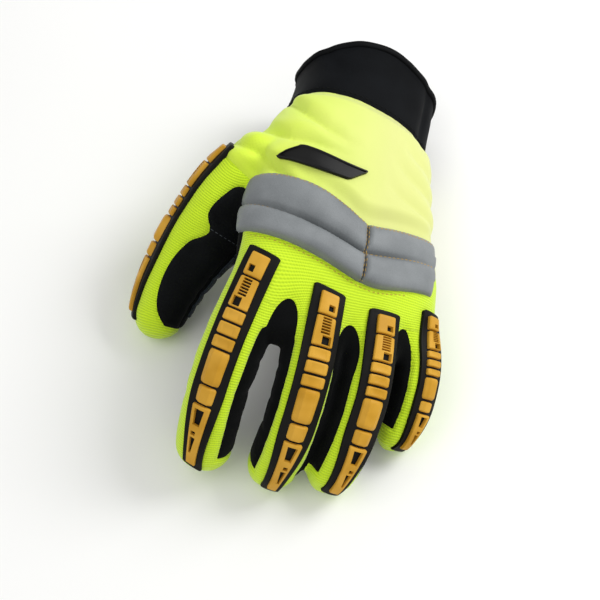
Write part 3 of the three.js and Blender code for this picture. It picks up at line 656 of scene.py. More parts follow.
# Creases over the filling: where each one runs, as degrees round the hand and share along it, then its
# depth and width in mm, and over how many degrees it grows from its first point
creases = [
    {"run": [(96, 0.505), (118, 0.500), (135, 0.525), (150, 0.570), (163, 0.625), (172, 0.665)],
     "depth": 3.2, "width": 1.7, "fade": 42},
    {"run": [(104, 0.450), (118, 0.448), (133, 0.455), (158, 0.475), (172, 0.515), (188, 0.565)],
     "depth": 3.3, "width": 1.7, "fade": 40},
    {"run": [(146, 0.270), (160, 0.330), (172, 0.410), (186, 0.500)],
     "depth": 3.0, "width": 1.5, "fade": 12},
    {"run": [(70, 0.520), (42, 0.465), (24, 0.440), (0, 0.420)],
     "depth": 1.7, "width": 2.4, "fade": 26},
    {"run": [(70, 0.400), (42, 0.355), (24, 0.335), (0, 0.320)],
     "depth": 1.7, "width": 2.2, "fade": 26},
    {"run": [(60, 0.590), (40, 0.560), (22, 0.540), (0, 0.525)],
     "depth": 1.3, "width": 2.2, "fade": 22},
]

# Dents over the hand: place along, angle, heading in degrees, half length and half width in mm, depth
handFolds = [
    (0.83, 40, 82, 22, 2.6, -1.3), (0.83, 27, 84, 22, 4.2, 0.9), (0.92, 150, 60, 16, 3.2, -0.9),
    (0.30, 200, 15, 14, 3.0, -1.2), (0.20, 205, 30, 12, 3.0, -1.0), (0.36, 250, 80, 22, 4.0, -1.6),
    (0.22, 285, 20, 30, 4.0, -1.8), (0.08, 262, 8, 30, 3.2, -1.6), (0.52, 290, 75, 20, 4.0, -1.0),
    (0.60, 215, 20, 16, 3.0, -1.2), (0.45, 320, 60, 18, 3.0, -1.0), (0.66, 330, 10, 14, 2.6, -1.0),
    (0.10, 345, 20, 14, 2.6, -0.8), (0.33, 348, 0, 12, 2.6, -0.9), (0.43, 352, 0, 12, 2.6, -0.9),
]

# How dents bow over the hand, and how they wander and shift from digit to digit
foldLook = {
    "bow": 0.005,
    "wander": 0.012,
    "wanderTurn": [0.31, 0.22, 0.27],
    "wanderPerDigit": 2.1,
    "shift": 0.01,
    "shiftPerDigit": 5,
    "shiftPerShare": 40,
}

# Relief of the whole cloth: depth and scale in mm, and the seed of its draw
clothRelief = [(0.22, 9, 3), (0.10, 3.5, 7)]

# Dents over a digit: share, angle, half length round it and half width along it in mm, depth
digitFolds = [
    (0.36, 270, 12, 1.8, -0.9), (0.44, 265, 13, 1.7, -1.1), (0.51, 275, 12, 1.9, -0.8),
    (0.66, 268, 12, 1.6, -1.0), (0.72, 272, 11, 1.6, -0.8), (0.82, 280, 9, 1.6, -0.6),
    (0.40, 190, 8, 1.8, -0.7), (0.55, 182, 8, 2.0, -0.7), (0.68, 178, 8, 1.8, -0.5),
    (0.42, 352, 8, 1.8, -0.7), (0.57, 0, 8, 2.0, -0.6), (0.70, 2, 8, 1.8, -0.5),
]


def paddingAt(place):
    along = place["along"]
    degrees = place["degrees"]
    barTop = barRowsAt(degrees)["top"]
    ends = smooth((along - barTop - paddedBack["fromBar"]) / paddedBack["fade"])
    ends = ends * smooth((wristSeam - paddedBack["toCuff"] - along) / paddedBack["fade"])
    edges = smooth((degrees - paddedBack["edgeFrom"]) / paddedBack["edgeFade"])
    edges = edges * smooth((paddedBack["edgeTo"] - degrees) / paddedBack["edgeFade"])
    height = paddedBack["height"] * ends * edges
    atSides = smooth((degrees - paddedBack["creaseFrom"]) / paddedBack["creaseFromFade"])
    atSides = atSides * smooth((paddedBack["creaseTo"] - degrees) / paddedBack["creaseToFade"])
    for crease in creases:
        first = crease["run"][0][0]
        heading = math.copysign(1, crease["run"][-1][0] - first)
        run = np.array(sorted(crease["run"]))
        at = np.interp(degrees, run[:, 0], run[:, 1])
        strength = smooth((degrees - first) * heading / crease["fade"]) * atSides
        apart = (along - at) * hand["backLength"]
        # a sharp valley, and the cloth beside it on the cuff's side stands fuller
        sharp = np.exp(-np.abs(apart) / crease["width"])
        broad = bell(apart, crease["width"] * paddedBack["broad"])
        valley = paddedBack["sharp"] * sharp + (1 - paddedBack["sharp"]) * broad
        beside = paddedBack["full"] * bell(apart - paddedBack["fullBeside"], paddedBack["fullWidth"])
        height += strength * crease["depth"] * (beside - valley)
    return height


def unevenness(points, scale, seed):
    turns = np.random.default_rng(seed).normal(size=(9, 3)) / scale
    phases = np.random.default_rng(seed + 1).uniform(0, 2 * np.pi, 9)
    return sum(np.sin(points @ turn + phase) for turn, phase in zip(turns, phases)) / 4.5


def foldsAt(points, fields):
    place = fields["hand"]
    handOwned = 1 - fields["strength"]
    height = np.zeros(len(points))
    for along, degrees, heading, halfLength, halfWidth, depth in handFolds:
        forwardMm = (place["along"] - along) * hand["backLength"]
        turned = np.mod(place["degrees"] - degrees + 180, 360) - 180
        aroundMm = np.radians(turned) * place["radius"]
        c = math.cos(math.radians(heading))
        s = math.sin(math.radians(heading))
        lengthwise = aroundMm * c + forwardMm * s
        crosswise = forwardMm * c - aroundMm * s + foldLook["bow"] * lengthwise ** 2
        height += depth * bell(lengthwise, halfLength) * bell(crosswise, halfWidth) * handOwned
    for k, (digit, place) in enumerate(zip(digits, fields["digits"])):
        owned = fields["strength"] * (fields["owner"] == k)
        turn = points @ np.array(foldLook["wanderTurn"]) + k * foldLook["wanderPerDigit"]
        wander = foldLook["wander"] * np.sin(turn)
        for share, degrees, halfRound, halfLong, depth in digitFolds:
            turned = np.mod(place["degrees"] - degrees + 180, 360) - 180
            aroundMm = np.radians(turned) * place["radius"]
            turn = k * foldLook["shiftPerDigit"] + share * foldLook["shiftPerShare"]
            shift = foldLook["shift"] * math.sin(turn)
            alongMm = (place["share"] - share + shift - wander) * digit["length"]
            height += depth * bell(aroundMm, halfRound) * bell(alongMm, halfLong) * owned
    return height


# The skin is cut along the zero line of a field, so that every seam is a smooth curve

def cutMesh(points, triangles, values, keep):
    inside = keep > 0
    whole = inside[triangles].sum(axis=1)
    faces = [triangles[whole == 3]]
    allPoints = [points]
    allValues = {name: [column] for name, column in values.items()}
    count = len(points)
    for number in (1, 2):
        chosen = triangles[whole == number]
        if not len(chosen):
            continue
        odd = inside[chosen] if number == 1 else ~inside[chosen]
        start = odd.argmax(axis=1)
        rows = np.arange(len(chosen))
        a = chosen[rows, start]
        b = chosen[rows, (start + 1) % 3]
        c = chosen[rows, (start + 2) % 3]
        made = []
        for other in (b, c):
            t = (keep[a] / (keep[a] - keep[other]))[:, None]
            made.append(np.arange(len(chosen)) + count)
            allPoints.append(points[a] * (1 - t) + points[other] * t)
            for name, column in values.items():
                allValues[name].append(column[a] * (1 - t[:, 0]) + column[other] * t[:, 0])
            count += len(chosen)
        if number == 1:
            faces.append(np.stack([a, made[0], made[1]], axis=1))
        else:
            faces.append(np.stack([made[0], b, c], axis=1))
            faces.append(np.stack([made[0], c, made[1]], axis=1))
    points = np.vstack(allPoints)
    triangles = np.vstack(faces)
    values = {name: np.concatenate(columns) for name, columns in allValues.items()}
    # the two faces beside a cut edge share the point on it
    key = np.round(points, 4)
    _, first, same = np.unique(key, axis=0, return_index=True, return_inverse=True)
    triangles = same.ravel()[triangles]
    proper = (triangles[:, 0] != triangles[:, 1]) & (triangles[:, 1] != triangles[:, 2])
    triangles = triangles[proper & (triangles[:, 2] != triangles[:, 0])]
    used, again = np.unique(triangles, return_inverse=True)
    first = first[used]
    values = {name: column[first] for name, column in values.items()}
    return points[first], again.reshape(-1, 3), values


def sharedSkin():
    points, triangles = joinedSkin(skin["voxel"])
    edges = edgesOf(triangles)
    hulls = [locateOnHand(points)["excess"]] + [locateOnDigit(points, digit)["excess"] for digit in digits]
    # the line where two hulls meet is smoothed more than the rest
    nearTwo = np.sort(np.abs(np.stack(hulls)), axis=0)[1]
    crease = 1 - smooth((nearTwo - skin["hullFrom"]) / skin["hullFade"])
    points = relax(points, edges, np.full(len(points), smoothing["first"]), smoothing["firstRounds"])
    weight = smoothing["least"] + smoothing["atJoins"] * crease
    points = relax(points, edges, weight, smoothing["joinRounds"])
    fields = panelFields(points)
    normals = normalsOf(points, triangles)
    height = paddingAt(fields["hand"]) * (1 - fields["strength"]) + foldsAt(points, fields)
    for depth, scale, seed in clothRelief:
        height = height + depth * unevenness(points, scale, seed)
    points = points + normals * height[:, None]
    points = relax(points, edges, np.full(len(points), smoothing["last"]), smoothing["lastRounds"])
    points[:, 2] = np.maximum(points[:, 2], skin["floor"])
    return points, triangles, fields


skinPoints, skinTriangles, skinFields = sharedSkin()
print("skin", len(skinPoints), len(skinTriangles), skinPoints.min(axis=0), skinPoints.max(axis=0))


# Panels: each is clipped out of the skin, rolled in at its seams and given the thickness of its cloth

def rollIn(points, triangles, distance, depth, width):
    return points - normalsOf(points, triangles) * (depth * bell(distance, width))[:, None]


def addUv(piece, u, v):
    mesh = piece.data
    layer = mesh.uv_layers.new(name="weave")
    loops = np.empty(len(mesh.loops), dtype=int)
    mesh.loops.foreach_get("vertex_index", loops)
    layer.data.foreach_set("uv", np.stack([u[loops], v[loops]], axis=1).ravel())


def panel(name, nodes, slot, thickness, points, triangles, values):
    # an open sheet keeps the skin's own facing, which is outward
    piece = newObject(name, points, triangles, closed=False)
    addUv(piece, values["u"], values["v"])
    shade = piece.data.attributes.new("shade", "FLOAT", "POINT")
    shade.data.foreach_set("value", values["shade"])
    wall = piece.modifiers.new("wall", "SOLIDIFY")
    wall.thickness = thickness / 1000
    wall.offset = -1
    wall.use_even_offset = False
    wall.material_offset = 1
    wall.material_offset_rim = 1
    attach(piece, "root")
    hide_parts(*nodes)
    return piece


# Seams between the palm side and the strips beside the fingers, in degrees; the rest is in mm
sideEdges = {
    "palmSeam": 222,
    "fingerSeam": -42,
    "thumbSeam": -60,
    "gussetSeam": 232,
    "gussetFrom": 150,
    "gussetBehind": -0.02,
    "deepest": 30,
    "outside": -20.0,
    "webHalf": 0.42,
    "webBehind": 16,
    "webAbove": 6,
    "thumbReach": 12,
}


def sideField(points, fields):
    # positive on the strips between the fingers and on the thumb's inner patch, negative on the palm side
    onHand = fields["hand"]
    degrees = onHand["degrees"]
    outside = np.full(len(points), sideEdges["outside"])
    handValue = (sideEdges["gussetSeam"] - degrees) * (onHand["radius"] * math.pi / 180)
    handValue = np.minimum(handValue, sideEdges["deepest"])
    digitValue = outside
    for k, (digit, place) in enumerate(zip(digits, fields["digits"])):
        perDegree = place["radius"] * math.pi / 180
        angle = place["degrees"]
        lowest = sideEdges["thumbSeam"] if digit is thumb else sideEdges["fingerSeam"]
        right = (angle - lowest) * perDegree
        left = (sideEdges["palmSeam"] - angle) * perDegree
        # thumb, index and little finger have no strip on their outer side
        if digit is index or digit is thumb:
            left = -np.abs(left) - 1
        if digit is pinky:
            right = -np.abs(right) - 1
        digitValue = np.where(fields["owner"] == k, np.where(angle < 90, right, left), digitValue)
    webValue = outside
    for web in webs:
        x, y, above, apart = webRing(web["pair"], points)
        near = np.minimum(apart * sideEdges["webHalf"] - np.abs(x), y + sideEdges["webBehind"])
        webValue = np.maximum(webValue, np.minimum(above + sideEdges["webAbove"], near))
    nearThumb = fields["digits"][4]["excess"] < sideEdges["thumbReach"]
    reached = nearThumb | (onHand["along"] > sideEdges["gussetBehind"])
    reached = reached & (degrees > sideEdges["gussetFrom"])
    handValue = np.maximum(np.where(reached, handValue, outside), webValue)
    return handValue * (1 - fields["strength"]) + digitValue * fields["strength"]


def paddedField(fields):
    onHand = fields["hand"]
    middleOfBar = barRowsAt(onHand["degrees"])["middle"]
    value = (onHand["along"] - middleOfBar) * hand["backLength"]
    # the padded cloth ends a short way up the thumb
    onThumb = fields["digits"][4]
    endShare = 0.21
    nearThumb = 4
    beyond = (endShare - onThumb["share"]) * thumb["length"]
    return np.where(onThumb["excess"] < nearThumb, np.minimum(value, beyond), value)


onHand = skinFields["hand"]
weaveRadius = 40.0
around = np.radians(onHand["degrees"]) * weaveRadius
for k, digit in enumerate(digits):
    onDigit = np.radians(skinFields["digits"][k]["degrees"]) * digit["width"] * 0.5
    around = np.where(skinFields["owner"] == k, onDigit, around)
cuffValue = (onHand["along"] - wristSeam) * hand["backLength"]
nearCuff = 0.4
farFromCuff = -40
cuffValue = np.where(onHand["along"] > nearCuff, cuffValue, farFromCuff)
paddedValue = paddedField(skinFields)
sideValue = sideField(skinPoints, skinFields)
darkValue = skinFields["dark"]
# the padded cloth's seam counts on yellow cloth only, and the strips' seams on dark cloth only
ownSeam = np.where(darkValue > 0, np.abs(sideValue), np.abs(paddedValue))
seamDistance = np.minimum(np.minimum(np.abs(darkValue), np.abs(cuffValue)), ownSeam)
skinPoints = rollIn(skinPoints, skinTriangles, seamDistance, skin["seamDepth"], skin["seamWidth"])
skinPoints[:, 2] = np.maximum(skinPoints[:, 2], skin["floor"])

ribs = ribPlace(skinFields)[:, None]
weight = np.full(len(ribs), smoothing["ribs"])
ribs = relax(ribs, edgesOf(skinTriangles), weight, smoothing["ribRounds"])

excess = [place["excess"] for place in skinFields["digits"]]
skinValues = {
    "u": around,
    "v": ribs[:, 0],
    "shade": np.clip(0.5 + 0.5 * unevenness(skinPoints, 14, 11), 0, 1),
    "dark": darkValue,
    "cuff": cuffValue,
    "padded": paddedValue,
    "side": sideValue,
    "along": onHand["along"],
    "degrees": onHand["degrees"],
    "thumb": excess[4] - np.min(excess[:4], axis=0),
    "offThumb": excess[4],
    "onFingers": skinFields["strength"],
}
for k, name in ((0, "index"), (4, "thumb")):
    place = skinFields["digits"][k]
    skinValues[name + "Share"] = place["share"]
    skinValues[name + "Degrees"] = np.mod(place["degrees"], 360)
    skinValues[name + "Owned"] = skinFields["strength"] * (skinFields["owner"] == k)
everything = (skinPoints, skinTriangles, skinValues)


def clip(part, keep):
    return cutMesh(part[0], part[1], part[2], keep(part[2]))


def facesWhere(part, keep):
    triangles = part[1][keep(part[2])[part[1][:, 0]]]
    used, again = np.unique(triangles, return_inverse=True)
    return part[0][used], again.reshape(-1, 3), {name: column[used] for name, column in part[2].items()}


openEnded = clip(everything, lambda v: (rimAlong(v["degrees"]) - v["along"]) * hand["backLength"])
cuffPart = clip(openEnded, lambda v: v["cuff"])
gloved = clip(openEnded, lambda v: -v["cuff"])
yellowPart = clip(gloved, lambda v: -v["dark"])
darkPart = clip(gloved, lambda v: v["dark"])
paddedPart = clip(yellowPart, lambda v: v["padded"])
knitPart = clip(yellowPart, lambda v: -v["padded"])
sidePart = clip(darkPart, lambda v: v["side"])
palmPart = clip(darkPart, lambda v: -v["side"])
stripsPart = facesWhere(sidePart, lambda v: v["thumb"] > 0)
thumbPatchPart = facesWhere(sidePart, lambda v: v["thumb"] <= 0)

wallMm = {"cuff": 1.8, "padded": 1.8, "knit": 1.6, "dark": 1.4}
backNodes = ["knuckle_back"] + [name + "_back" for name in digitNames]
frontNodes = ["palm"] + [name + "_front" for name in digitNames]
stripNodes = ["index_middle_fourchette", "middle_ring_fourchette", "ring_pinky_fourchette"]
pieces = {}
pieces["cuff"] = panel("cuff_sleeve", ["cuff"], "cuff_black", wallMm["cuff"], *cuffPart)
pieces["padded"] = panel(
    "padded_wrist_back", ["wrist_back"], "padded_yellow", wallMm["padded"], *paddedPart)
pieces["knit"] = panel("knit_back", backNodes, "knit_yellow", wallMm["knit"], *knitPart)
pieces["strips"] = panel("finger_side_strips", stripNodes, "black_knit", wallMm["dark"], *stripsPart)
pieces["thumbPatch"] = panel(
    "thumb_inner_patch", ["thumb_patch"], "black_leather", wallMm["dark"], *thumbPatchPart)
pieces["palm"] = panel("palm_side", frontNodes, "black_leather", wallMm["dark"], *palmPart)
for name, piece in pieces.items():
    print(name, len(piece.data.vertices), len(piece.data.polygons))


# Materials

def linear(hexColour):
    channels = [(hexColour >> shift & 255) / 255 for shift in (16, 8, 0)]
    return [c / 12.92 if c <= 0.04045 else ((c + 0.055) / 1.055) ** 2.4 for c in channels] + [1.0]


def newMaterial(name, colour, roughness, sheen=0.0, sheenRoughness=0.5, specular=0.5):
    material = bpy.data.materials.new(name)
    material.use_nodes = True
    tree = material.node_tree
    shader = tree.nodes["Principled BSDF"]
    shader.inputs["Base Color"].default_value = linear(colour)
    shader.inputs["Roughness"].default_value = roughness
    shader.inputs["Sheen Weight"].default_value = sheen
    shader.inputs["Sheen Roughness"].default_value = sheenRoughness
    shader.inputs["Specular IOR Level"].default_value = specular
    return material, tree, shader


def addNode(tree, kind, settings=None, **inputs):
    node = tree.nodes.new(kind)
    for key, value in (settings or {}).items():
        setattr(node, key, value)
    for key, value in inputs.items():
        # _0 and _1 are sockets by number, the others by name
        socket = node.inputs[int(key[1:]) if key[1:].isdigit() else key.replace("_", " ")]
        if isinstance(value, bpy.types.NodeSocket):
            tree.links.new(value, socket)
        else:
            socket.default_value = value
    return node


def maths(tree, operation, first, second=0.0):
    return addNode(tree, "ShaderNodeMath", {"operation": operation}, _0=first, _1=second).outputs[0]


def noiseAt(tree, vector, perMm, detail=2.0, roughness=0.5):
    sockets = {"Vector": vector, "Scale": perMm * 1000, "Detail": detail, "Roughness": roughness}
    return addNode(tree, "ShaderNodeTexNoise", **sockets).outputs["Fac"]


def cellsAt(tree, vector, perMm, feature):
    node = addNode(tree, "ShaderNodeTexVoronoi", {"feature": feature}, Vector=vector, Scale=perMm * 1000)
    return node.outputs["Distance"]


def ranged(tree, value, fromRange=(0.0, 1.0), toRange=(0.0, 1.0)):
    low, high = fromRange
    toLow, toHigh = toRange
    sockets = {"From_Min": low, "From_Max": high, "To_Min": toLow, "To_Max": toHigh}
    return addNode(tree, "ShaderNodeMapRange", Value=value, **sockets).outputs[0]


def blended(tree, *parts):
    # the sum of values, each times its weight
    total, *others = [maths(tree, "MULTIPLY", value, weight) for value, weight in parts]
    for value in others:
        total = maths(tree, "ADD", total, value)
    return total


def objectPlace(tree):
    return addNode(tree, "ShaderNodeTexCoord").outputs["Object"]


def mixColour(tree, factor, first, second):
    node = addNode(tree, "ShaderNodeMix", {"data_type": "RGBA", "clamp_factor": True})
    for socket, value in zip((node.inputs[0], node.inputs[6], node.inputs[7]), (factor, first, second)):
        if isinstance(value, bpy.types.NodeSocket):
            tree.links.new(value, socket)
        else:
            socket.default_value = value
    return node.outputs[2]


def coloured(tree, shader, factor, first, second):
    tree.links.new(mixColour(tree, factor, linear(first), linear(second)), shader.inputs["Base Color"])


def bumped(tree, shader, height, distanceMm, strength):
    node = addNode(tree, "ShaderNodeBump", Height=height, Distance=distanceMm / 1000, Strength=strength)
    tree.links.new(node.outputs["Normal"], shader.inputs["Normal"])


def roughened(tree, shader, grain, low, high):
    tree.links.new(ranged(tree, grain, toRange=(low, high)), shader.inputs["Roughness"])


def attributeAt(tree, name):
    return addNode(tree, "ShaderNodeAttribute", {"attribute_name": name}).outputs["Fac"]


def weavePlace(tree):
    uv = addNode(tree, "ShaderNodeUVMap", {"uv_map": "weave"}).outputs["UV"]
    parts = addNode(tree, "ShaderNodeSeparateXYZ", Vector=uv)
    return parts.outputs["X"], parts.outputs["Y"]


def wave(tree, place, pitch, shift=0.0):
    turned = maths(tree, "MULTIPLY", place, 2 * math.pi / pitch)
    moved = maths(tree, "ADD", turned, shift)
    return maths(tree, "MULTIPLY_ADD", maths(tree, "SINE", moved), 0.5)


# deep is a painted shade colour for the valleys between the ribs and loops; shaded is a random large-scale
# tint
knitLook = {"bright": 0xCCEB1E, "deep": 0xAFD112, "shaded": 0xBBDA14, "pitch": 1.15, "loop": 1.0}


def knitMaterial():
    # polyester knit with a rib across the digit every millimetre or so
    material, tree, shader = newMaterial("knit_yellow", knitLook["bright"], 0.72, sheen=0.25, specular=0.25)
    u, v = weavePlace(tree)
    place = objectPlace(tree)
    wander = maths(tree, "MULTIPLY", noiseAt(tree, place, 0.12), 1.6)
    rib = wave(tree, v, knitLook["pitch"], wander)
    loop = wave(tree, u, knitLook["loop"], maths(tree, "MULTIPLY", v, math.pi / knitLook["pitch"]))
    fuzz = noiseAt(tree, place, 1.6, 3.0, 0.6)
    height = blended(tree, (rib, 0.62), (loop, 0.22), (fuzz, 0.35))
    bumped(tree, shader, height, 0.36, 0.7)
    # painted shade: the knit is painted darker in the valleys between its ribs and loops, mixed with a
    # random fuzz tone
    tone = ranged(tree, height, (0.28, 0.75))
    cloth = mixColour(tree, tone, linear(knitLook["deep"]), linear(knitLook["bright"]))
    tone = maths(tree, "MULTIPLY", attributeAt(tree, "shade"), 0.22)
    cloth = mixColour(tree, tone, cloth, linear(knitLook["shaded"]))
    tree.links.new(cloth, shader.inputs["Base Color"])
    return material


# the paler colour here is a painted highlight, laid over the little finger's side of the padded cloth
paddedLook = {"deep": 0xCDEC2A, "bright": 0xDAEE4E, "paintedHighlight": 0xD2CE92, "woven": 0xBBDA20, "pitch": 0.62}


def paddedMaterial():
    # smooth warp-knit face over the filling
    material, tree, shader = newMaterial(
        "padded_yellow", paddedLook["bright"], 0.6, sheen=0.25, specular=0.3)
    place = objectPlace(tree)
    u, v = weavePlace(tree)
    pitch = paddedLook["pitch"]
    weave = maths(tree, "MULTIPLY", wave(tree, u, pitch), wave(tree, v, pitch))
    fuzz = noiseAt(tree, place, 1.2, 3.0, 0.6)
    slub = noiseAt(tree, place, 0.08, 2.0)
    bumped(tree, shader, blended(tree, (weave, 0.5), (fuzz, 0.5)), 0.14, 0.6)
    cloth = mixColour(tree, slub, linear(paddedLook["deep"]), linear(paddedLook["bright"]))
    # painted highlight: the cloth is painted paler towards the little finger's side, standing in for the
    # strong light that falls there
    across = addNode(tree, "ShaderNodeSeparateXYZ", Vector=place).outputs["X"]
    paintedHighlight = ranged(tree, across, (-0.020, 0.045), (0.0, 0.75))
    cloth = mixColour(tree, paintedHighlight, cloth, linear(paddedLook["paintedHighlight"]))
    cloth = mixColour(tree, maths(tree, "MULTIPLY", weave, 0.18), cloth, linear(paddedLook["woven"]))
    tree.links.new(cloth, shader.inputs["Base Color"])
    return material


def blackCloth(name, colour, lighter, roughness, perMm, depth, sheen):
    material, tree, shader = newMaterial(name, colour, roughness, sheen=sheen, specular=0.06)
    place = objectPlace(tree)
    grain = noiseAt(tree, place, perMm, 4.0, 0.65)
    broad = noiseAt(tree, place, 0.05, 2.0)
    bumped(tree, shader, grain, depth, 0.7)
    tone = blended(tree, (grain, 0.5), (broad, 0.5))
    coloured(tree, shader, ranged(tree, tone, (0.38, 0.62)), colour, lighter)
    roughened(tree, shader, grain, roughness - 0.1, roughness + 0.1)
    return material


materials = {
    "knit": knitMaterial(),
    "padded": paddedMaterial(),
    "cuff": blackCloth("cuff_black", 0x060709, 0x0E1013, 0.72, 1.4, 0.12, 0.02),
    "strips": blackCloth("black_knit", 0x040505, 0x0C0D0E, 0.85, 2.0, 0.20, 0.02),
    "lining": blackCloth("lining_black", 0x0B0C0D, 0x16181A, 0.9, 1.2, 0.15, 0.02),
    "leather": blackCloth("black_leather", 0x050607, 0x0F1113, 0.62, 1.1, 0.18, 0.01),
}


def wears(piece, *chosen):
    piece.data.materials.clear()
    for material in chosen:
        piece.data.materials.append(material)


# every panel shows its black lining inside
for name, piece in pieces.items():
    outside = "leather" if name in ("thumbPatch", "palm") else name
    wears(piece, materials[outside], materials["lining"])


# Laying parts on the skin: rays find it, and their depths are smoothed so that stiff parts bridge its dents

skinTree = BVHTree.FromPolygons(skinPoints.tolist(), skinTriangles.tolist())


def skinDepths(origins, directions, reach, fallback):
    # how far below each origin the skin lies, along its own direction
    depths = np.array(np.broadcast_to(fallback, len(origins)), dtype=float)
    for k, (origin, direction) in enumerate(zip(origins, directions)):
        hit = skinTree.ray_cast(Vector(origin), Vector(-direction))
        if hit[0] is not None and hit[3] < reach:
            depths[k] = hit[3]
    return depths


def blur(grid, width, axis):
    reach = max(1, math.ceil(width * 3))
    kernel = np.exp(-0.5 * (np.arange(-reach, reach + 1) / width) ** 2)
    kernel /= kernel.sum()
    margins = [(reach, reach) if k == axis else (0, 0) for k in range(grid.ndim)]
    padded = np.pad(grid, margins, mode="edge")
    return np.apply_along_axis(lambda line: np.convolve(line, kernel, mode="valid"), axis, padded)


def plateMesh(top, bottom):
    # a closed plate from two grids of points, joined round their edge
    rows, columns = top.shape[:2]
    count = rows * columns
    upper = gridFaces(rows, columns, False)
    faces = upper + [tuple(v + count for v in reversed(face)) for face in upper]
    rim = list(range(columns)) + [r * columns + columns - 1 for r in range(1, rows)]
    rim += [(rows - 1) * columns + c for c in range(columns - 2, -1, -1)]
    rim += [r * columns for r in range(rows - 2, 0, -1)]
    for a, b in zip(rim, rim[1:] + rim[:1]):
        faces.append((b, a, a + count, b + count))
    return np.vstack([top.reshape(-1, 3), bottom.reshape(-1, 3)]), faces


def creased(piece, degrees):
    # soft shading with hard lines where faces meet at more than this angle
    bpy.ops.object.select_all(action="DESELECT")
    piece.select_set(True)
    bpy.context.view_layer.objects.active = piece
    bpy.ops.object.shade_smooth_by_angle(angle=math.radians(degrees))
    piece.select_set(False)


def addPiece(name, nodes, slot, material, points, faces, sharpAngle=35):
    piece = newObject(name, points, faces)
    creased(piece, sharpAngle)
    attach(piece, "root")
    if nodes:
        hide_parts(*nodes)
    wears(piece, material)
    return piece


def gridLines(marks, spacing):
    # the marks and as many lines between them as the spacing asks for
    marks = sorted({round(float(mark), 4) for mark in marks})
    lines = []
    for a, b in zip(marks, marks[1:]):
        steps = max(1, math.ceil((b - a) / spacing - 0.01))
        lines += [a + (b - a) * k / steps for k in range(steps)]
    return np.array(lines + [marks[-1]])


# Moulded rubbers

def rubberMaterial(name, colour, lighter, roughness, depth, specular=0.15):
    # injection-moulded thermoplastic rubber: an even satin face with a very fine spark-eroded grain
    material, tree, shader = newMaterial(name, colour, roughness, specular=specular)
    place = objectPlace(tree)
    fine = noiseAt(tree, place, 2.2, 3.0)
    broad = noiseAt(tree, place, 0.07, 2.0)
    bumped(tree, shader, fine, depth, 0.5)
    coloured(tree, shader, ranged(tree, broad, (0.35, 0.65)), colour, lighter)
    roughened(tree, shader, fine, roughness - 0.08, roughness + 0.1)
    return material


materials["rubber"] = rubberMaterial("black_rubber", 0x070605, 0x100E0A, 0.55, 0.05)
materials["label"] = rubberMaterial("label_rubber", 0x0A0A0A, 0x131312, 0.42, 0.03, specular=0.2)
materials["amber"] = rubberMaterial("amber_rubber", 0xBC8A24, 0xD09E38, 0.46, 0.04)

# Guards along the digits, moulded flat and bent to each one. Lengths are in mm; the pads' wall, bevel and
# width are shares of the strip's half width
guard = {
    "base": 1.7,
    "edgeHeight": 0.3,
    "edge": 0.5,
    "edgeWidth": 0.07,
    "halfAtEdge": 7.1,
    "rim": 2.4,
    "lip": 0.2,
    "stripCorner": 0.9,
    "padTop": 3.5,
    "padFoot": 1.2,
    "padSunk": 0.8,
    "padWidth": 0.87,
    "groove": 0.75,
    "wall": 0.035,
    "bevel": 0.11,
    "wallLong": 0.18,
    "bevelLong": 0.5,
    "corner": 0.35,
    "taperFrom": 0.62,
    "taper": 0.42,
    "sunk": 0.6,
    "thumbTurn": 3.6,
    "above": 28.0,
    "leastBend": -0.004,
    "clear": 0.6,
    "seatBlur": 3.0,
    "lipAt": 0.8,
    "lipWide": 0.35,
    "roundFrom": 0.72,
    "roundLong": 0.9,
    "padRoundFrom": 0.8,
    "padRoundAt": 0.2,
    "padRoundLong": 0.5,
}

# Grid lines of the guards: mm along the strip and shares of its half width across it. Only pad gives
# shares of a pad's length
guardLines = {
    "lip": [1.0, 1.6],
    "lipAcross": [0.14, 0.22],
    "step": 1.2,
    "stepAcross": 0.13,
    "pad": [0.11, 0.16, 0.3, 0.7, 0.84, 0.89],
    "padAcross": [0.2, 0.38, 0.46, 0.58],
    "padStep": 1.3,
    "padStepAcross": 0.14,
}

# Pads from the knuckle to the tip: length as a share of the row, height as a share of padTop, and width at
# both ends as a share of padWidth
padRows = [
    {"long": 0.125, "top": 0.98, "start": 0.60, "end": 0.58, "crown": "flat"},
    {"long": 0.157, "top": 1.00, "start": 0.58, "end": 0.62, "crown": "flat"},
    {"long": 0.061, "top": 0.94, "start": 0.64, "end": 0.65, "crown": "dish"},
    {"long": 0.060, "top": 0.94, "start": 0.66, "end": 0.67, "crown": "dish"},
    {"long": 0.057, "top": 0.94, "start": 0.68, "end": 0.68, "crown": "dish"},
    {"long": 0.155, "top": 1.12, "start": 0.70, "end": 0.66, "crown": "facets"},
    {"long": 0.085, "top": 1.02, "start": 0.64, "end": 0.62, "crown": "facets"},
    {"long": 0.300, "top": 0.96, "start": 0.62, "end": 0.50, "crown": "flat"},
]

# Windows through the pads: the pad, from and to along it, and both edges across it at either end
windowRows = [
    (0, 0.54, 0.84, -0.66, 0.00, -0.66, 0.00),
    (1, 0.66, 0.95, -0.72, 0.12, -0.72, 0.12),
    (7, 0.06, 0.31, -0.60, 0.46, -0.50, 0.34),
    (7, 0.41, 0.475, -0.58, 0.06, -0.58, 0.06),
    (7, 0.51, 0.78, -0.60, 0.20, -0.54, -0.14),
]
slotRow = {"pad": 1, "count": 6, "start": 0.05, "end": 0.63, "left": -0.52, "right": 0.36, "open": 0.76}
tipSlants = {"index": 0.36, "middle": 0.24, "ring": 0.10, "pinky": 0.0, "thumb": 0.20}


def guardWidth(digit, stripLength, s):
    taper = smooth((s / stripLength - guard["taperFrom"]) / (1 - guard["taperFrom"]))
    return digit["strip"] * (1 - guard["taper"] * taper) / 2


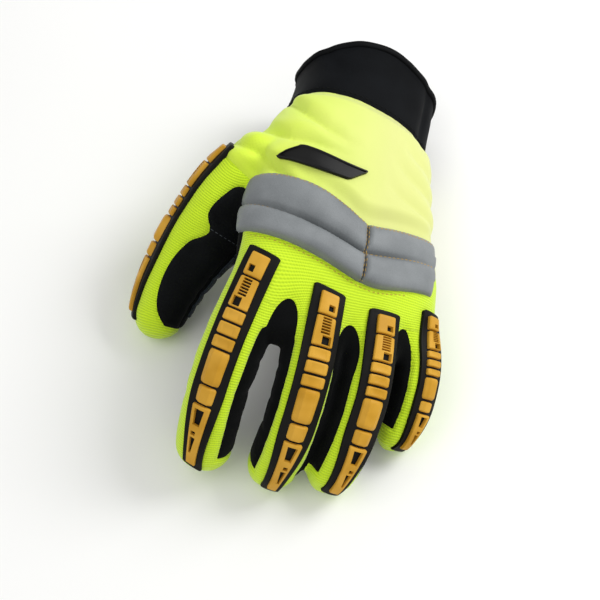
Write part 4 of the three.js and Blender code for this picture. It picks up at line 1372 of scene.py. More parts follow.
def guardFrames(digit, share):
    # on the thumb the strip lies a little towards the back of the hand
    frames = digitFrames(digit, share)
    if digit is thumb:
        turn = guard["thumbTurn"] / (digit["width"] / 2)
        normal = frames["normal"] * math.cos(turn) + frames["side"] * math.sin(turn)
        frames["side"] = frames["side"] * math.cos(turn) - frames["normal"] * math.sin(turn)
        frames["normal"] = normal
    return frames


def guardSeat(digit, stripLength):
    # the skin under the strip as a parabola across it, at each place along it
    before = 1.0
    beyond = 1.5
    toSides = 0.9
    places = np.linspace(-before, stripLength + beyond, 90)
    share = digit["stripFrom"] + places / digit["length"]
    frames = guardFrames(digit, share)
    across = np.linspace(-toSides, toSides, 7)
    half = guardWidth(digit, stripLength, places)
    above = guard["above"]
    expected = above - digitHalves(digit, np.minimum(share, 1 - tipLength / digit["length"]))[1]
    levels = []
    for t in across:
        origins = frames["centre"] + frames["side"] * (t * half)[:, None] + frames["normal"] * above
        levels.append(above - skinDepths(origins, frames["normal"], above + 6, expected))
    levels = np.array(levels).T
    fits = []
    for row, width in zip(levels, half):
        fit = np.polyfit(across * width, row, 2)
        fit[0] = min(fit[0], guard["leastBend"])
        fit[2] += max(0.0, np.max(row - np.polyval(fit, across * width))) * guard["clear"]
        fits.append(fit)
    return places, blur(np.array(fits), guard["seatBlur"], 0)


def bendGuard(digit, seat, s, t, height):
    places, fits = seat
    frames = guardFrames(digit, digit["stripFrom"] + s.ravel() / digit["length"])
    square, slope, level = (np.interp(s.ravel(), places, fits[:, k]) for k in range(3))
    flat = t.ravel()
    lean = (2 * square * flat + slope)[:, None]
    outward = unit(frames["normal"] - frames["side"] * lean)
    base = frames["centre"] + frames["side"] * flat[:, None]
    base = base + frames["normal"] * (square * flat ** 2 + slope * flat + level)[:, None]
    return (base + outward * height.ravel()[:, None]).reshape(s.shape + (3,))


def slanted(digit, stripLength, s, t):
    share = s / stripLength
    return s + t * (digit["slant"] * (1 - share) ** 5 + tipSlants[digit["name"]] * share ** 5)


def windowsOf(digit, starts):
    # each window as places from and to along the strip, and its two edges at either end
    rows = list(windowRows)
    pitch = (slotRow["end"] - slotRow["start"]) / slotRow["count"]
    slotSides = (slotRow["left"], slotRow["right"]) * 2
    for k in range(slotRow["count"]):
        a = slotRow["start"] + k * pitch
        rows.append((slotRow["pad"], a, a + pitch * slotRow["open"]) + slotSides)
    mirrored = digit["name"] not in ("index", "thumb")
    found = []
    for pad, a, b, left, right, leftEnd, rightEnd in rows:
        low, high = starts[pad]
        if mirrored:
            left, right, leftEnd, rightEnd = -right, -left, -rightEnd, -leftEnd
        places = (low + (high - low) * a, low + (high - low) * b)
        found.append(places + (left, right, leftEnd, rightEnd))
    return found


# Tops of the pads: depths in mm, and the rest as shares of the pad's half width or half length
crown = {
    "dish": 0.28,
    "dishSide": 0.62,
    "dishSideFade": 0.16,
    "dishEnd": 0.68,
    "dishEndFade": 0.28,
    "facet": 1.75,
    "facetFrom": 0.42,
    "facetWide": 0.55,
    "endFacet": 0.7,
    "endFacetFrom": 0.74,
    "sideBevel": 0.45,
    "endBevel": 0.35,
}


def crownAt(row, s, p, low, high):
    toEnds = np.abs(2 * (s - low) / (high - low) - 1)
    side = np.abs(p)
    top = guard["padTop"] * row["top"] * np.ones(s.shape)
    if row["crown"] == "dish":
        dip = smooth((crown["dishSide"] - side) / crown["dishSideFade"])
        top -= crown["dish"] * dip * smooth((crown["dishEnd"] - toEnds) / crown["dishEndFade"])
    if row["crown"] == "facets":
        top -= crown["facet"] * np.clip((side - crown["facetFrom"]) / crown["facetWide"], 0, 1)
        beyond = (toEnds - crown["endFacetFrom"]) / (1 - crown["endFacetFrom"])
        top -= crown["endFacet"] * np.clip(beyond, 0, 1)
    intoBevel = side - 1 + guard["wall"] + guard["bevel"]
    top -= crown["sideBevel"] * np.clip(intoBevel / guard["bevel"], 0, 1)
    toEnd = np.minimum(s - low, high - s) - guard["wallLong"]
    return top - crown["endBevel"] * np.clip(1 - toEnd / guard["bevelLong"], 0, 1) ** 2


def padsOf(digit, stripLength):
    usable = stripLength - 2 * guard["rim"]
    edges = guard["rim"] + usable * np.cumsum([0] + [row["long"] for row in padRows])
    starts = [(a + guard["groove"] / 2, b - guard["groove"] / 2) for a, b in zip(edges, edges[1:])]
    windows = windowsOf(digit, starts)
    wall = guard["wallLong"]
    sMarks = [guard["rim"] - 0.5, edges[-1] + 0.5]
    for (low, high), row in zip(starts, padRows):
        for edge in (0, wall, wall + 0.2, wall + guard["bevelLong"]):
            sMarks += [low + edge, high - edge]
        if row["crown"] != "flat":
            sMarks += list(low + (high - low) * np.array(guardLines["pad"]))
    pMarks = [-1, 0, 1]
    edgesAcross = [guard["wall"], guard["wall"] + 0.04, guard["wall"] + guard["bevel"]]
    for edge in edgesAcross + guardLines["padAcross"]:
        pMarks += [edge - 1, 1 - edge]
    for a, b, left, right, _, _ in windows:
        sMarks += [a, a + wall, b - wall, b]
        pMarks += [left, left + guard["wall"], right - guard["wall"], right]
    s, p = np.meshgrid(
        gridLines(sMarks, guardLines["padStep"]),
        gridLines(pMarks, guardLines["padStepAcross"]), indexing="ij")
    height = np.full(s.shape, guard["padFoot"])
    outer = np.clip((1 - np.abs(p)) / guard["wall"], 0, 1)
    for (low, high), row in zip(starts, padRows):
        ends = np.clip(np.minimum(s - low, high - s) / wall, 0, 1)
        height += (crownAt(row, s, p, low, high) - guard["padFoot"]) * ends * outer
    warped = p.copy()
    for a, b, left, right, leftEnd, rightEnd in windows:
        lengthwise = np.clip(np.minimum(s - a, b - s) / wall, 0, 1)
        crosswise = np.clip(np.minimum(p - left, right - p) / guard["wall"], 0, 1)
        height = guard["padFoot"] + (height - guard["padFoot"]) * (1 - lengthwise * crosswise)
        if (left, right) != (leftEnd, rightEnd):
            for r in np.nonzero((s[:, 0] >= a) & (s[:, 0] <= b))[0]:
                mix = (s[r, 0] - a) / (b - a)
                edgesHere = [-1, left + (leftEnd - left) * mix, right + (rightEnd - right) * mix, 1]
                warped[r] = np.interp(p[r], [-1, left, right, 1], edgesHere)
    ends = np.array(starts).ravel()
    widths = np.array([[row["start"], row["end"]] for row in padRows]).ravel()
    t = warped * np.interp(s, ends, widths) * guard["padWidth"] * guardWidth(digit, stripLength, s)
    # the corners are rounded by drawing the ends of each pad's sides in
    beyond = (np.abs(p) - guard["padRoundFrom"]) / (1 - guard["padRoundFrom"])
    cornerIn = guard["corner"] * np.clip(beyond, 0, 1) ** 2
    at = guard["padRoundAt"]
    reach = guard["padRoundLong"]
    hair = 0.01
    rounded = s.copy()
    for low, high in starts:
        nearLow = bell(s - low - at, reach) * (s < (low + high) / 2) * (s >= low - hair)
        nearHigh = bell(high - at - s, reach) * (s > (low + high) / 2) * (s <= high + hair)
        rounded += cornerIn * (nearLow - nearHigh)
    return rounded, t, height


def makeGuard(digit):
    name = digit["name"]
    stripLength = (digit["stripTo"] - digit["stripFrom"]) * digit["length"]
    seat = guardSeat(digit, stripLength)
    edge = guard["edge"]
    turnIn = [0, 0.06, 0.2, 0.45, 1.0]
    inward = [edge * k for k in turnIn] + guardLines["lip"]
    sMarks = inward + [stripLength - mark for mark in inward]
    inward = [guard["edgeWidth"] * k for k in turnIn] + guardLines["lipAcross"]
    pMarks = [mark - 1 for mark in inward] + [1 - mark for mark in inward]
    s, p = np.meshgrid(
        gridLines(sMarks, guardLines["step"]),
        gridLines(pMarks, guardLines["stepAcross"]), indexing="ij")
    t = p * guardWidth(digit, stripLength, s)
    fromEdge = np.minimum(np.minimum(s, stripLength - s), (1 - np.abs(p)) * guard["halfAtEdge"])
    height = guard["edgeHeight"] + (guard["base"] - guard["edgeHeight"]) * rounding(fromEdge, edge)
    height += guard["lip"] * bell(fromEdge - guard["lipAt"], guard["lipWide"])
    # the strip's own corners are rounded too
    beyond = (np.abs(p) - guard["roundFrom"]) / (1 - guard["roundFrom"])
    pull = guard["stripCorner"] * np.clip(beyond, 0, 1) ** 2
    s = s + pull * (bell(s, guard["roundLong"]) - bell(stripLength - s, guard["roundLong"]))
    s = slanted(digit, stripLength, s, t)
    top = bendGuard(digit, seat, s, t, height)
    bottom = bendGuard(digit, seat, s, t, np.full(s.shape, -guard["sunk"]))
    addPiece(name + "_guard_strip", [name + "_guard_base"], "black_rubber", materials["rubber"],
             *plateMesh(top, bottom))

    s, t, height = padsOf(digit, stripLength)
    s = slanted(digit, stripLength, s, t)
    top = bendGuard(digit, seat, s, t, height)
    bottom = bendGuard(digit, seat, s, t, np.full(s.shape, guard["padSunk"]))
    addPiece(name + "_guard_row", [name + "_guard_pads"], "amber_rubber", materials["amber"],
             *plateMesh(top, bottom), 28)


for digit in digits:
    makeGuard(digit)
print("guards made")


# The padded bar over the knuckles: two filled rows, each in a long and a short part

bar = {
    "from": 15.5,
    "to": 183.5,
    "split": 83.0,
    "gap": 0.06,
    "endRoll": 0.35,
    "crest": 6.4,
    "edge": 1.1,
    "seamHalf": 0.09,
    "arch": 3.6,
    "roundEnd": 7.0,
    "endPower": 2.4,
    "edgeRoll": 0.07,
    "endHeight": 0.68,
    "uneven": 0.30,
    "pucker": 0.16,
    "least": 0.15,
    "columns": 1.1,
    "rows": 40,
    "sunk": 0.5,
    "settle": 3.0,
    "closer": 0.25,
    "puckerAt": 0.82,
    "puckerWide": 0.16,
    "puckerTurns": 1.9,
    "puckerSway": 0.23,
    "unevenScale": 7,
    "puckerScale": 3,
}

# How full the rows are round the hand, and the height of the seam between them in mm
barFull = table("angle full seam", [
    (15, 0.42, 2.3),
    (50, 0.90, 2.8),
    (80, 1.0, 2.4),
    (112, 1.0, 1.2),
    (138, 1.0, 1.2),
    (160, 0.85, 1.8),
    (184, 0.50, 1.9),
])


def aboveHand(along, angle, above):
    # points at a height over the hand's section, and the directions that lead away from it
    frames = handFrames(along)
    across = frames["side"] * np.cos(angle)[:, None] + frames["normal"] * np.sin(angle)[:, None]
    return overHand(along, angle) + across * above, across


def overSkin(along, degrees, height, settle):
    # points at a height over the skin, from grids of places on the hand
    above = 22.0
    sinks = 0.25
    origins, across = aboveHand(along.ravel(), np.radians(degrees).ravel(), above)
    depths = skinDepths(origins, across, above + 12, above).reshape(along.shape)
    if settle:
        smoothed = blur(blur(depths, settle, 0), settle, 1)
        depths = np.minimum(depths + sinks, smoothed)
    base = origins.reshape(along.shape + (3,)) - across.reshape(along.shape + (3,)) * depths[..., None]
    outward = unit(np.cross(np.gradient(base, axis=1), np.gradient(base, axis=0)))
    outward *= np.sign((outward * across.reshape(outward.shape)).sum(axis=-1))[..., None]
    return base + outward * height[..., None], base - outward * bar["sunk"], outward


def barGrid(low, high):
    # place across the bar runs from 0 at the knuckles' edge over 1 at the seam to 2 at the wrist's edge
    columns = int(math.radians(high - low) * hand["girthRadius"] / bar["columns"])
    shares = np.linspace(0, 1, columns)
    # columns lie closer towards the ends
    shares = (1 - np.cos(np.pi * shares)) / 2 * bar["closer"] + shares * (1 - bar["closer"])
    rows = np.linspace(0, 2, bar["rows"] + 1)
    place, degrees = np.meshgrid(rows, low + (high - low) * shares, indexing="ij")
    row = readRows(barRows, "angle", degrees)
    lower = row["bottom"] + (row["middle"] - row["bottom"]) * place
    upper = row["middle"] + (row["top"] - row["middle"]) * (place - 1)
    return place, degrees, np.where(place < 1, lower, upper)


def barHeight(place, degrees, low, high, points):
    row = readRows(barFull, "angle", degrees)
    # a filled row is a squarish arch between its two seams
    nearSeam = (place > 0.5) & (place < 1.5)
    across = np.abs(np.mod(place, 1) * 2 - 1)
    across = np.where((place >= 2) | (place <= 0), 1, across)
    across = np.where(nearSeam, np.clip(across / (1 - bar["seamHalf"]), 0, 1), across)
    arch = np.sqrt(np.clip(1 - across ** bar["arch"], 0, 1))
    fromEnd = np.radians(np.minimum(degrees - low, high - degrees)) * hand["girthRadius"]
    endArch = rounding(fromEnd, bar["roundEnd"], bar["endPower"])
    seam = np.where(nearSeam, row["seam"], bar["edge"])
    height = seam + (bar["crest"] * row["full"] - seam) * arch * endArch
    # the stuffing lies unevenly, and the cloth is drawn in beside the seams
    uneven = bar["uneven"] * unevenness(points, bar["unevenScale"], 21)
    uneven += bar["pucker"] * unevenness(points, bar["puckerScale"], 23)
    height += arch * endArch * uneven
    turn = degrees * bar["puckerTurns"] + 2 * np.sin(degrees * bar["puckerSway"]) + place * 2
    pucker = bell(across - bar["puckerAt"], bar["puckerWide"]) * np.sin(turn)
    height += bar["pucker"] * pucker * endArch
    rolled = rounding(np.minimum(place, 2 - place), bar["edgeRoll"])
    rolledEnd = bar["endHeight"] + (1 - bar["endHeight"]) * rounding(fromEnd, bar["endRoll"])
    return np.maximum(height * rolled * rolledEnd, bar["least"])


def silverMaterial():
    # coated reflective fabric: grey, evenly matt to the eye, with a fine bead grain and a faint cloth weave
    material, tree, shader = newMaterial("silver_reflective", 0x74787A, 0.5, specular=0.3)
    place = objectPlace(tree)
    beads = noiseAt(tree, place, 3.2, 2.0, 0.6)
    weave = cellsAt(tree, place, 1.6, "F1")
    broad = noiseAt(tree, place, 0.06, 2.0)
    bumped(tree, shader, maths(tree, "ADD", beads, weave), 0.06, 0.5)
    tone = blended(tree, (beads, 0.5), (broad, 0.5))
    coloured(tree, shader, ranged(tree, tone, (0.36, 0.64)), 0x6A6E70, 0x828688)
    return material


materials["silver"] = silverMaterial()
halfGap = math.degrees(bar["gap"] / 2 / hand["girthRadius"])
barEnds = {"long": (bar["split"] + halfGap, bar["to"]), "short": (bar["from"], bar["split"] - halfGap)}
barSeams = {}
for part, (low, high) in barEnds.items():
    place, degrees, along = barGrid(low, high)
    flat = overHand(along.ravel(), np.radians(degrees).ravel()).reshape(along.shape + (3,))
    height = barHeight(place, degrees, low, high, flat)
    top, bottom, outward = overSkin(along, degrees, height, bar["settle"])
    name = "knuckle_bar_" + part
    piece = addPiece(name + "_padding", [name], "silver_reflective", materials["silver"],
                     *plateMesh(top, bottom), 60)
    middleRow = bar["rows"] // 2
    barSeams[part] = {
        "middle": (top[middleRow], outward[middleRow]),
        "top": (top[-4], outward[-4]),
        "end": (top[:, 1] * 0.5 + top[:, 2] * 0.5, outward[:, 1]),
        "start": (top[:, -2] * 0.5 + top[:, -3] * 0.5, outward[:, -2]),
    }
print("bar made")

# Label: a flexible moulded patch with slanted ends and a raised rim, left bare
label = {
    "corners": [(0.386, 163.0), (0.434, 147.0), (0.397, 89.0), (0.338, 110.0)],
    "rim": 1.4,
    "rimSlope": 0.35,
    "rimRoll": 0.4,
    "rimHeight": 1.8,
    "field": 1.0,
    "least": 0.1,
    "rimLines": [0, 0.15, 0.4, 0.8],
    "corner": 1.2,
    "cornerLong": 2.4,
    "cornerWide": 1.8,
    "bow": 0.010,
    "lengthMm": 48.0,
    "widthMm": 9.0,
    "stepLong": 0.02,
    "stepWide": 0.09,
    "settle": 2.5,
}


def makeLabel():
    a, b, c, d = (np.array(corner) for corner in label["corners"])
    edges = label["rimLines"] + [label["rim"] - label["rimSlope"], label["rim"]]
    lengthwise = [mark / label["lengthMm"] for mark in edges]
    crosswise = [mark / label["widthMm"] for mark in edges]
    s, t = np.meshgrid(
        gridLines(lengthwise + [1 - mark for mark in lengthwise], label["stepLong"]),
        gridLines(crosswise + [1 - mark for mark in crosswise], label["stepWide"]), indexing="ij")
    # the corners are rounded by drawing the long sides in at the ends
    fromEnd = np.minimum(s, 1 - s) * label["lengthMm"]
    fromSide = np.minimum(t, 1 - t) * label["widthMm"]
    turn = np.clip(1 - fromEnd / label["cornerLong"], 0, 1) ** 2 * label["corner"] / label["widthMm"]
    turn *= np.clip(1 - fromSide / label["cornerWide"], 0, 1)
    across = t + turn * np.where(t < 0.5, 1, -1)
    # both long sides run from the thumb's side to the little finger's side, and bow a little
    upper = b + (c - b) * s[..., None]
    lower = a + (d - a) * s[..., None]
    place = lower + (upper - lower) * across[..., None]
    place[..., 0] -= label["bow"] * 4 * s * (1 - s)
    fromEdge = np.minimum(fromEnd, fromSide)
    rimHeight = label["rimHeight"] * rounding(fromEdge, label["rimRoll"])
    dip = smooth((fromEdge - label["rim"] + label["rimSlope"]) / label["rimSlope"])
    height = np.maximum(rimHeight * (1 - dip) + label["field"] * dip, label["least"])
    top, bottom, _ = overSkin(place[..., 0], place[..., 1], height, label["settle"])
    addPiece("label_plate", ["label_patch"], "black_rubber", materials["label"],
             *plateMesh(top, bottom), 40)


makeLabel()

# Binding rolled over the cuff's open edge
binding = {
    "back": 0.004,
    "outer": 1.3,
    "inner": 2.5,
    "ahead": 1.8,
    "behind": 1.5,
    "squareness": 0.75,
    "sides": 18,
    "rings": 144,
    "floor": 0.12,
    "swell": 0.05,
    "swellTurn": 0.9,
    "slowSwell": 0.04,
    "slowTurn": 0.37,
}


def makeBinding():
    angle = circle(binding["rings"])
    along = rimAlong(np.degrees(angle)) - binding["back"]
    backward = -handFrames(along)["forward"]
    above = 14.0
    origins, across = aboveHand(along, angle, above)
    depths = skinDepths(origins, across, above + 10, above)
    base = origins - across * depths[:, None]
    turns = circle(binding["sides"])
    outwardReach = np.where(np.cos(turns) > 0, binding["outer"], binding["inner"])
    backReach = np.where(np.sin(turns) > 0, binding["behind"], binding["ahead"])
    x = np.sign(np.cos(turns)) * np.abs(np.cos(turns)) ** binding["squareness"] * outwardReach
    y = np.sign(np.sin(turns)) * np.abs(np.sin(turns)) ** binding["squareness"] * backReach
    rings = []
    for k, (point, out, back) in enumerate(zip(base, across, backward)):
        swell = 1 + binding["swell"] * math.sin(k * binding["swellTurn"])
        swell += binding["slowSwell"] * math.sin(k * binding["slowTurn"] + 1)
        rings.append(point + out * (x * swell)[:, None] + back * y[:, None])
    rings = np.array(rings)
    rings[..., 2] = np.maximum(rings[..., 2], binding["floor"])
    rows, columns = rings.shape[:2]
    closed = np.concatenate([rings, rings[:1]]).reshape(-1, 3)
    faces = [tuple(v % (rows * columns) for v in face) for face in gridFaces(rows + 1, columns, True)]
    addPiece("cuff_edge_binding", ["cuff_binding"], "binding_black", materials["binding"],
             closed[:rows * columns], faces, 60)


materials["binding"] = blackCloth("binding_black", 0x060708, 0x0F1012, 0.6, 1.8, 0.12, 0.01)
makeBinding()
print("label and binding made")

# Layers sewn onto the palm side: clipped from the same skin and lifted a little
sewing = {
    "overlap": 0.3,
    "edgeRise": 0.35,
    "edgeRoll": 0.7,
    "dent": 0.35,
    "dentAt": 1.6,
    "dentWide": 0.5,
    "floor": 0.1,
    "ownedFrom": 0.6,
    "ownedMm": 12,
}

# Along is a share of the back's length, from and to are in degrees. The patches on two digits give the
# share from and to, the degrees from and to, and the corners' radius.
patchLook = {
    "thick": 0.95,
    "alongFrom": -0.06,
    "alongTo": 0.46,
    "from": 220,
    "to": 332,
    "corner": 11,
    "tabs": 0.030,
    "tabAt": 275,
    "tabsPerTurn": 6.2,
    "tabsTo": 0.1,
    "bay": 9,
    "bayAlong": 0.24,
    "bayLong": 0.07,
    "bayAt": 222,
    "bayRound": 16,
    "offThumb": 2.5,
    "onFingersTo": 0.35,
    "onFingersMm": 25,
    "fromSeams": 2.0,
    "onThumb": (0.36, 0.86, 222, 322, 7),
    "onIndex": (0.36, 0.86, 228, 312, 6),
}
bandLook = {
    "thick": 0.7,
    "wide": 20,
    "fromCuff": 0.02,
    "from": 215,
    "to": 335,
    "corner": 2.0,
    "fromSeams": 1.8,
}
stripLook = {
    "thick": 0.7,
    "wide": 9.5,
    "radius": 36,
    "fromCuff": 0.03,
    "to": 0.925,
    "from": 216,
    "corner": 1.2,
}


def insideBox(x, y, radius):
    # distance inside a rounded rectangle, from the distances inside its sides and its ends
    corner = radius - np.hypot(np.maximum(radius - x, 0), np.maximum(radius - y, 0))
    return np.where((x < radius) | (y < radius), corner, np.minimum(x, y))


def handBox(v, low, high, start, end, radius):
    # distance in mm inside a rounded rectangle on the hand
    perDegree = math.radians(hand["girthRadius"])
    x = np.minimum(v["turned"] - start, end - v["turned"]) * perDegree
    y = np.minimum(v["along"] - low, high - v["along"]) * hand["backLength"]
    return insideBox(x, y, radius)


def digitBox(v, digit, low, high, start, end, radius):
    # distance in mm inside a rounded rectangle on a digit's front
    degrees = v[digit["name"] + "Degrees"]
    share = v[digit["name"] + "Share"]
    x = np.minimum(degrees - start, end - degrees) * math.radians(digit["width"] / 2)
    y = np.minimum(share - low, high - share) * digit["length"]
    owned = (v[digit["name"] + "Owned"] - sewing["ownedFrom"]) * sewing["ownedMm"]
    return np.minimum(insideBox(x, y, radius), owned)


def fromSeams(v):
    # distance in mm from the seams round the palm side
    return np.minimum(np.minimum(-v["side"], v["dark"]), -v["cuff"])


def patchField(v):
    # the palm, with tabs towards the fingers, and the fronts of thumb and index finger
    look = patchLook
    tabs = look["tabs"] * np.cos(np.radians((v["turned"] - look["tabAt"]) * look["tabsPerTurn"]))
    tabbed = dict(v, along=v["along"] - np.where(v["along"] < look["tabsTo"], tabs, 0))
    field = handBox(tabbed, look["alongFrom"], look["alongTo"], look["from"], look["to"], look["corner"])
    # a bay beside the thumb
    bay = bell(v["along"] - look["bayAlong"], look["bayLong"])
    field -= look["bay"] * bay * bell(v["turned"] - look["bayAt"], look["bayRound"])
    offFingers = (look["onFingersTo"] - v["onFingers"]) * look["onFingersMm"]
    field = np.minimum(field, np.minimum(v["offThumb"] - look["offThumb"], offFingers))
    field = np.maximum(field, digitBox(v, thumb, *look["onThumb"]))
    field = np.maximum(field, digitBox(v, index, *look["onIndex"]))
    return np.minimum(field, fromSeams(v) - look["fromSeams"])


def bandField(v):
    high = wristSeam - bandLook["fromCuff"]
    low = high - bandLook["wide"] / hand["backLength"]
    box = handBox(v, low, high, bandLook["from"], bandLook["to"], bandLook["corner"])
    return np.minimum(box, fromSeams(v) - bandLook["fromSeams"])


def stripField(v):
    low = wristSeam + stripLook["fromCuff"]
    end = stripLook["from"] + math.degrees(stripLook["wide"] / stripLook["radius"])
    return handBox(v, low, stripLook["to"], stripLook["from"], end, stripLook["corner"])


def sewnLayer(name, node, slot, material, part, field, thick):
    found = dict(part[2])
    found["inside"] = field(part[2])
    points, triangles, values = cutMesh(part[0], part[1], found, found["inside"])
    roll = rounding(values["inside"], sewing["edgeRoll"])
    rise = thick * (sewing["edgeRise"] + (1 - sewing["edgeRise"]) * roll)
    # the stitches draw the layer in
    dent = sewing["dent"] * bell(values["inside"] - sewing["dentAt"], sewing["dentWide"])
    lifted = points + normalsOf(points, triangles) * (rise - dent)[:, None]
    lifted[:, 2] = np.maximum(lifted[:, 2], sewing["floor"])
    piece = panel(name, [node], slot, thick + sewing["overlap"], lifted, triangles, values)
    piece.modifiers["wall"].material_offset_rim = 0
    wears(piece, material, materials["lining"])
    return lifted, triangles, values


def patchMaterial():
    # microfibre palm leather with pressed-in speckle, slightly blue
    material, tree, shader = newMaterial("palm_texture", 0x171C22, 0.6, specular=0.2)
    place = objectPlace(tree)
    cells = cellsAt(tree, place, 1.1, "F1")
    grain = noiseAt(tree, place, 1.5, 4.0, 0.65)
    height = blended(tree, (cells, 0.8), (grain, 0.6))
    bumped(tree, shader, height, 0.28, 0.8)
    coloured(tree, shader, ranged(tree, height, (0.35, 0.95)), 0x0B0E12, 0x28313A)
    return material


def whiteMaterial():
    # white retro-reflective tape with a faint honeycomb of sealed cells
    material, tree, shader = newMaterial("white_reflective", 0xD9DCDE, 0.35, specular=0.5)
    place = objectPlace(tree)
    edge = ranged(tree, cellsAt(tree, place, 0.42, "DISTANCE_TO_EDGE"), (0.0, 0.06))
    bumped(tree, shader, edge, 0.05, 0.6)
    coloured(tree, shader, edge, 0xB4B9BD, 0xE4E7E8)
    return material


materials["patch"] = patchMaterial()
materials["white"] = whiteMaterial()
for part in (palmPart, cuffPart):
    part[2]["turned"] = np.mod(part[2]["degrees"], 360)
sewn = {
    "patch": sewnLayer("palm_reinforcement", "palm_patch", "palm_texture", materials["patch"],
                       palmPart, patchField, patchLook["thick"]),
    "band": sewnLayer("wrist_band", "wrist_reflector", "white_reflective", materials["white"],
                      palmPart, bandField, bandLook["thick"]),
    "strip": sewnLayer("cuff_strip", "cuff_reflector", "white_reflective", materials["white"],
                       cuffPart, stripField, stripLook["thick"]),
}
print("sewn layers made")


# Stitches: one short thread, copied along each seam. Each row gives its pitch, and its stitches' length,
# thickness and height in mm
stitchRows = {
    "bar_stitches": (2.3, 1.75, 0.19, 0.05),
    "knit_edge_stitches": (2.4, 1.6, 0.2, 0.02),
    "palm_stitches": (2.6, 1.6, 0.26, 0.02),
    "cuff_stitches": (2.8, 1.8, 0.28, 0.02),
    "thumb_stitches": (2.3, 1.7, 0.18, 0.04),
}

# Lines that stitches follow: mm inside a layer's edge or past the cuff's seam, share along the thumb, and
# the row on the knit just beyond the bar's lower edge
stitchInsets = {"patch": (1.4, 3.0), "band": (1.3,), "strip": (1.2,)}
cuffInset = 2.2
thumbRowShare = 0.47
knitRow = {"from": 30.0, "to": 178.0, "beyond": 0.012, "places": 120}


def levelLines(points, triangles, field, level):
    # the polylines where a field has one value, with normals
    normals = normalsOf(points, triangles)
    above = field > level
    crossed = np.nonzero(above[triangles].any(axis=1) & ~above[triangles].all(axis=1))[0]
    links = {}
    places = {}
    for triangle in triangles[crossed]:
        ends = []
        for a, b in ((0, 1), (1, 2), (2, 0)):
            i, j = sorted((int(triangle[a]), int(triangle[b])))
            if above[i] != above[j]:
                ends.append((i, j))
                if (i, j) not in places:
                    t = (level - field[i]) / (field[j] - field[i])
                    places[(i, j)] = [column[i] * (1 - t) + column[j] * t for column in (points, normals)]
        for one, other in (ends, ends[::-1]):
            links.setdefault(one, []).append(other)
    lines = []
    while links:
        start = next((key for key, others in links.items() if len(others) == 1), next(iter(links)))
        line = [start]
        while links.get(line[-1]):
            onward = links[line[-1]].pop()
            links[onward].remove(line[-1])
            line.append(onward)
        for key in line:
            if not links.get(key, True):
                del links[key]
        if len(line) > 4:
            lines.append(tuple(np.array([places[key][part] for key in line]) for part in (0, 1)))
    return lines


def stitchShape(sides=6):
    # a short thread lying on the cloth, its ends going into it
    bpy.ops.mesh.primitive_cylinder_add(vertices=sides, radius=1, depth=2, end_fill_type="NOTHING")
    rod = bpy.context.object
    made = bmesh.new()
    made.from_mesh(rod.data)
    lengthwise = [edge for edge in made.edges if abs(edge.verts[0].co.z - edge.verts[1].co.z) > 1]
    bmesh.ops.subdivide_edges(made, edges=lengthwise, cuts=3)
    made.verts.ensure_lookup_table()
    points = np.array([v.co for v in made.verts])
    faces = [[v.index for v in face.verts] for face in made.faces]
    made.free()
    bpy.data.objects.remove(rod)
    blunt = 0.92
    sinks = 0.9
    along = points[:, 2].copy()
    thin = np.sqrt(np.clip(1 - (np.abs(along) * blunt) ** 4, 0, 1))
    upward = points[:, 1] * thin - sinks * np.abs(along) ** 3
    return np.stack([along, points[:, 0] * thin, upward], axis=1), faces


threadPoints, threadFaces = stitchShape()


def evened(line):
    # the mean of each point and its two neighbours on either side
    if len(line) <= 8:
        return line
    padded = np.pad(line, ((2, 2), (0, 0)), mode="edge")
    return np.stack([np.convolve(column, np.ones(5) / 5, "valid") for column in padded.T], axis=1)


def readRun(run, columns, at):
    return np.array([np.interp(at, run, column) for column in columns.T])


def sewStitches(name, material, lines):
    pitch, length, radius, lift = stitchRows[name]
    points = []
    faces = []
    step = 0.3
    for line, normals in lines:
        line = evened(line)
        run = np.concatenate([[0], np.cumsum(np.linalg.norm(np.diff(line, axis=0), axis=1))])
        count = int(run[-1] / pitch)
        for k in range(count):
            at = (k + 0.5) * run[-1] / count
            here = readRun(run, line, at)
            normal = unit(readRun(run, normals, at))
            tangent = readRun(run, line, at + step) - readRun(run, line, at - step)
            tangent = unit(tangent - normal * (tangent @ normal))
            side = np.cross(normal, tangent)
            shape = tangent * threadPoints[:, :1] * length / 2 + side * threadPoints[:, 1:2] * radius
            shape = shape + normal * (threadPoints[:, 2:3] * radius + lift)
            faces += [tuple(v + len(threadPoints) * len(points) for v in face) for face in threadFaces]
            points.append(here + shape)
    piece = newObject(name, np.vstack(points), faces)
    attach(piece, "root")
    wears(piece, material)
    print(name, len(points), "stitches")


def threadMaterial(name, colour, lighter):
    # bonded polyester thread, with the turn of its plies
    material, tree, shader = newMaterial(name, colour, 0.5, specular=0.1)
    place = objectPlace(tree)
    plies = noiseAt(tree, place, 3.0, 2.0)
    bumped(tree, shader, plies, 0.08, 0.6)
    coloured(tree, shader, plies, colour, lighter)
    return material


materials["orangeThread"] = threadMaterial("orange_thread", 0xA8853A, 0xC9A24E)
materials["blackThread"] = threadMaterial("black_thread", 0x040405, 0x0A0A0B)
materials["greyThread"] = threadMaterial("grey_thread", 0x3C4045, 0x565B60)

orangeLines = []
for part in barSeams.values():
    orangeLines.append(part["middle"])
    orangeLines.append(part["top"])
orangeLines.append(barSeams["long"]["end"])
orangeLines.append(barSeams["short"]["start"])
sewStitches("bar_stitches", materials["orangeThread"], orangeLines)

# three lines side by side, so that the middle one has directions across it
degrees = np.linspace(knitRow["from"], knitRow["to"], knitRow["places"])[None, :].repeat(3, axis=0)
along = readRows(barRows, "angle", degrees)["bottom"] - knitRow["beyond"] * np.array([[0.6], [1.0], [1.4]])
top, _, outward = overSkin(along, degrees, np.zeros(degrees.shape), 0)
knitLines = [(top[1], outward[1])]
sewStitches("knit_edge_stitches", materials["orangeThread"], knitLines)

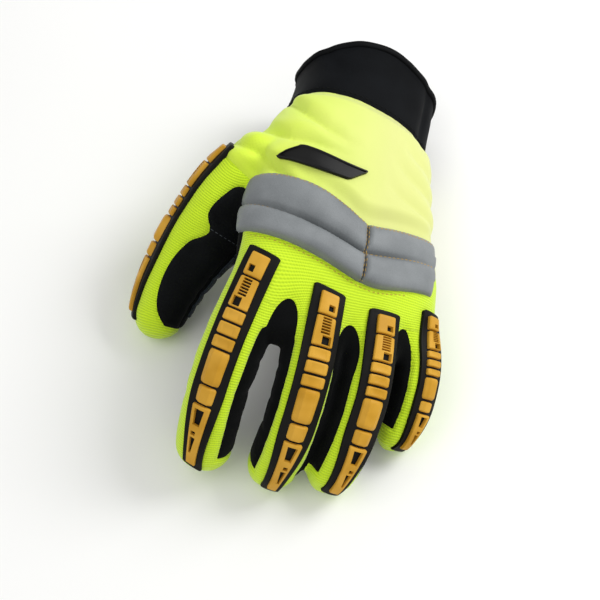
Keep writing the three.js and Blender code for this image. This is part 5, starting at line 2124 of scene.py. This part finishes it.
palmLines = []
for name, insets in stitchInsets.items():
    points, triangles, values = sewn[name]
    for inset in insets:
        palmLines += levelLines(points, triangles, values["inside"], inset)
sewStitches("palm_stitches", materials["greyThread"], palmLines)

cuffLines = levelLines(skinPoints, skinTriangles, cuffValue, cuffInset)
sewStitches("cuff_stitches", materials["blackThread"], cuffLines)

# one row crosses the dark patch from the notch in its edge to the web beside the index finger
patchPoints, patchTriangles, patchValues = thumbPatchPart
thumbLines = levelLines(patchPoints, patchTriangles, patchValues["thumbShare"], thumbRowShare)
sewStitches("thumb_stitches", materials["greyThread"], thumbLines)
print("stitches made")


# Floor, light and camera

stage = {
    "floor": 0xF4F4F2,
    "half": 3.0,
    "world": 0.60,
    "eye": (0.0660, -0.4333, 0.8233),
    "downward": 62.5,
    "turned": 6,
    "lens": 112.0,
    "sensor": 36.0,
    "shiftX": -0.05,
    "shiftY": 0.02,
}

# Square lights: name, place and side in m, power in W
lightRows = [
    ("key", (0.62, 0.34, 0.66), 0.45, 6.0),
    ("fill", (-0.5, -0.3, 1.1), 0.9, 3.0),
    ("front", (0.2, -1.0, 0.6), 0.8, 1.2),
]


def areaLight(name, place, size, power, target=(0.0, 0.0, 0.03)):
    data = bpy.data.lights.new(name, "AREA")
    data.shape = "SQUARE"
    data.size = size
    data.energy = power
    light = bpy.data.objects.new(name, data)
    light.location = place
    light.rotation_euler = (Vector(target) - Vector(place)).to_track_quat("-Z", "Y").to_euler()
    bpy.context.scene.collection.objects.link(light)


def makeStage():
    floorMesh = bpy.data.meshes.new("floor")
    half = stage["half"]
    corners = [(-half, -half, 0), (half, -half, 0), (half, half, 0), (-half, half, 0)]
    floorMesh.from_pydata(corners, [], [(0, 1, 2, 3)])
    floor = bpy.data.objects.new("floor", floorMesh)
    bpy.context.scene.collection.objects.link(floor)
    material, tree, shader = newMaterial("floor_paper", stage["floor"], 0.9, specular=0.1)
    place = objectPlace(tree)
    coloured(tree, shader, noiseAt(tree, place, 0.004), 0xF6F6F5, 0xF0F0EE)
    wears(floor, material)
    world = bpy.data.worlds.new("studio")
    world.use_nodes = True
    background = world.node_tree.nodes["Background"]
    background.inputs["Color"].default_value = (1.0, 1.0, 1.0, 1.0)
    background.inputs["Strength"].default_value = stage["world"]
    bpy.context.scene.world = world
    for row in lightRows:
        areaLight(*row)
    camera = bpy.data.objects.new("camera", bpy.data.cameras.new("camera"))
    camera.location = stage["eye"]
    camera.rotation_euler = (math.radians(90 - stage["downward"]), 0, math.radians(stage["turned"]))
    camera.data.lens = stage["lens"]
    camera.data.sensor_width = stage["sensor"]
    camera.data.shift_x = stage["shiftX"]
    camera.data.shift_y = stage["shiftY"]
    camera.data.clip_start = 0.01
    bpy.context.scene.collection.objects.link(camera)
    bpy.context.scene.camera = camera


makeStage()
bpy.context.scene.view_settings.view_transform = "Standard"
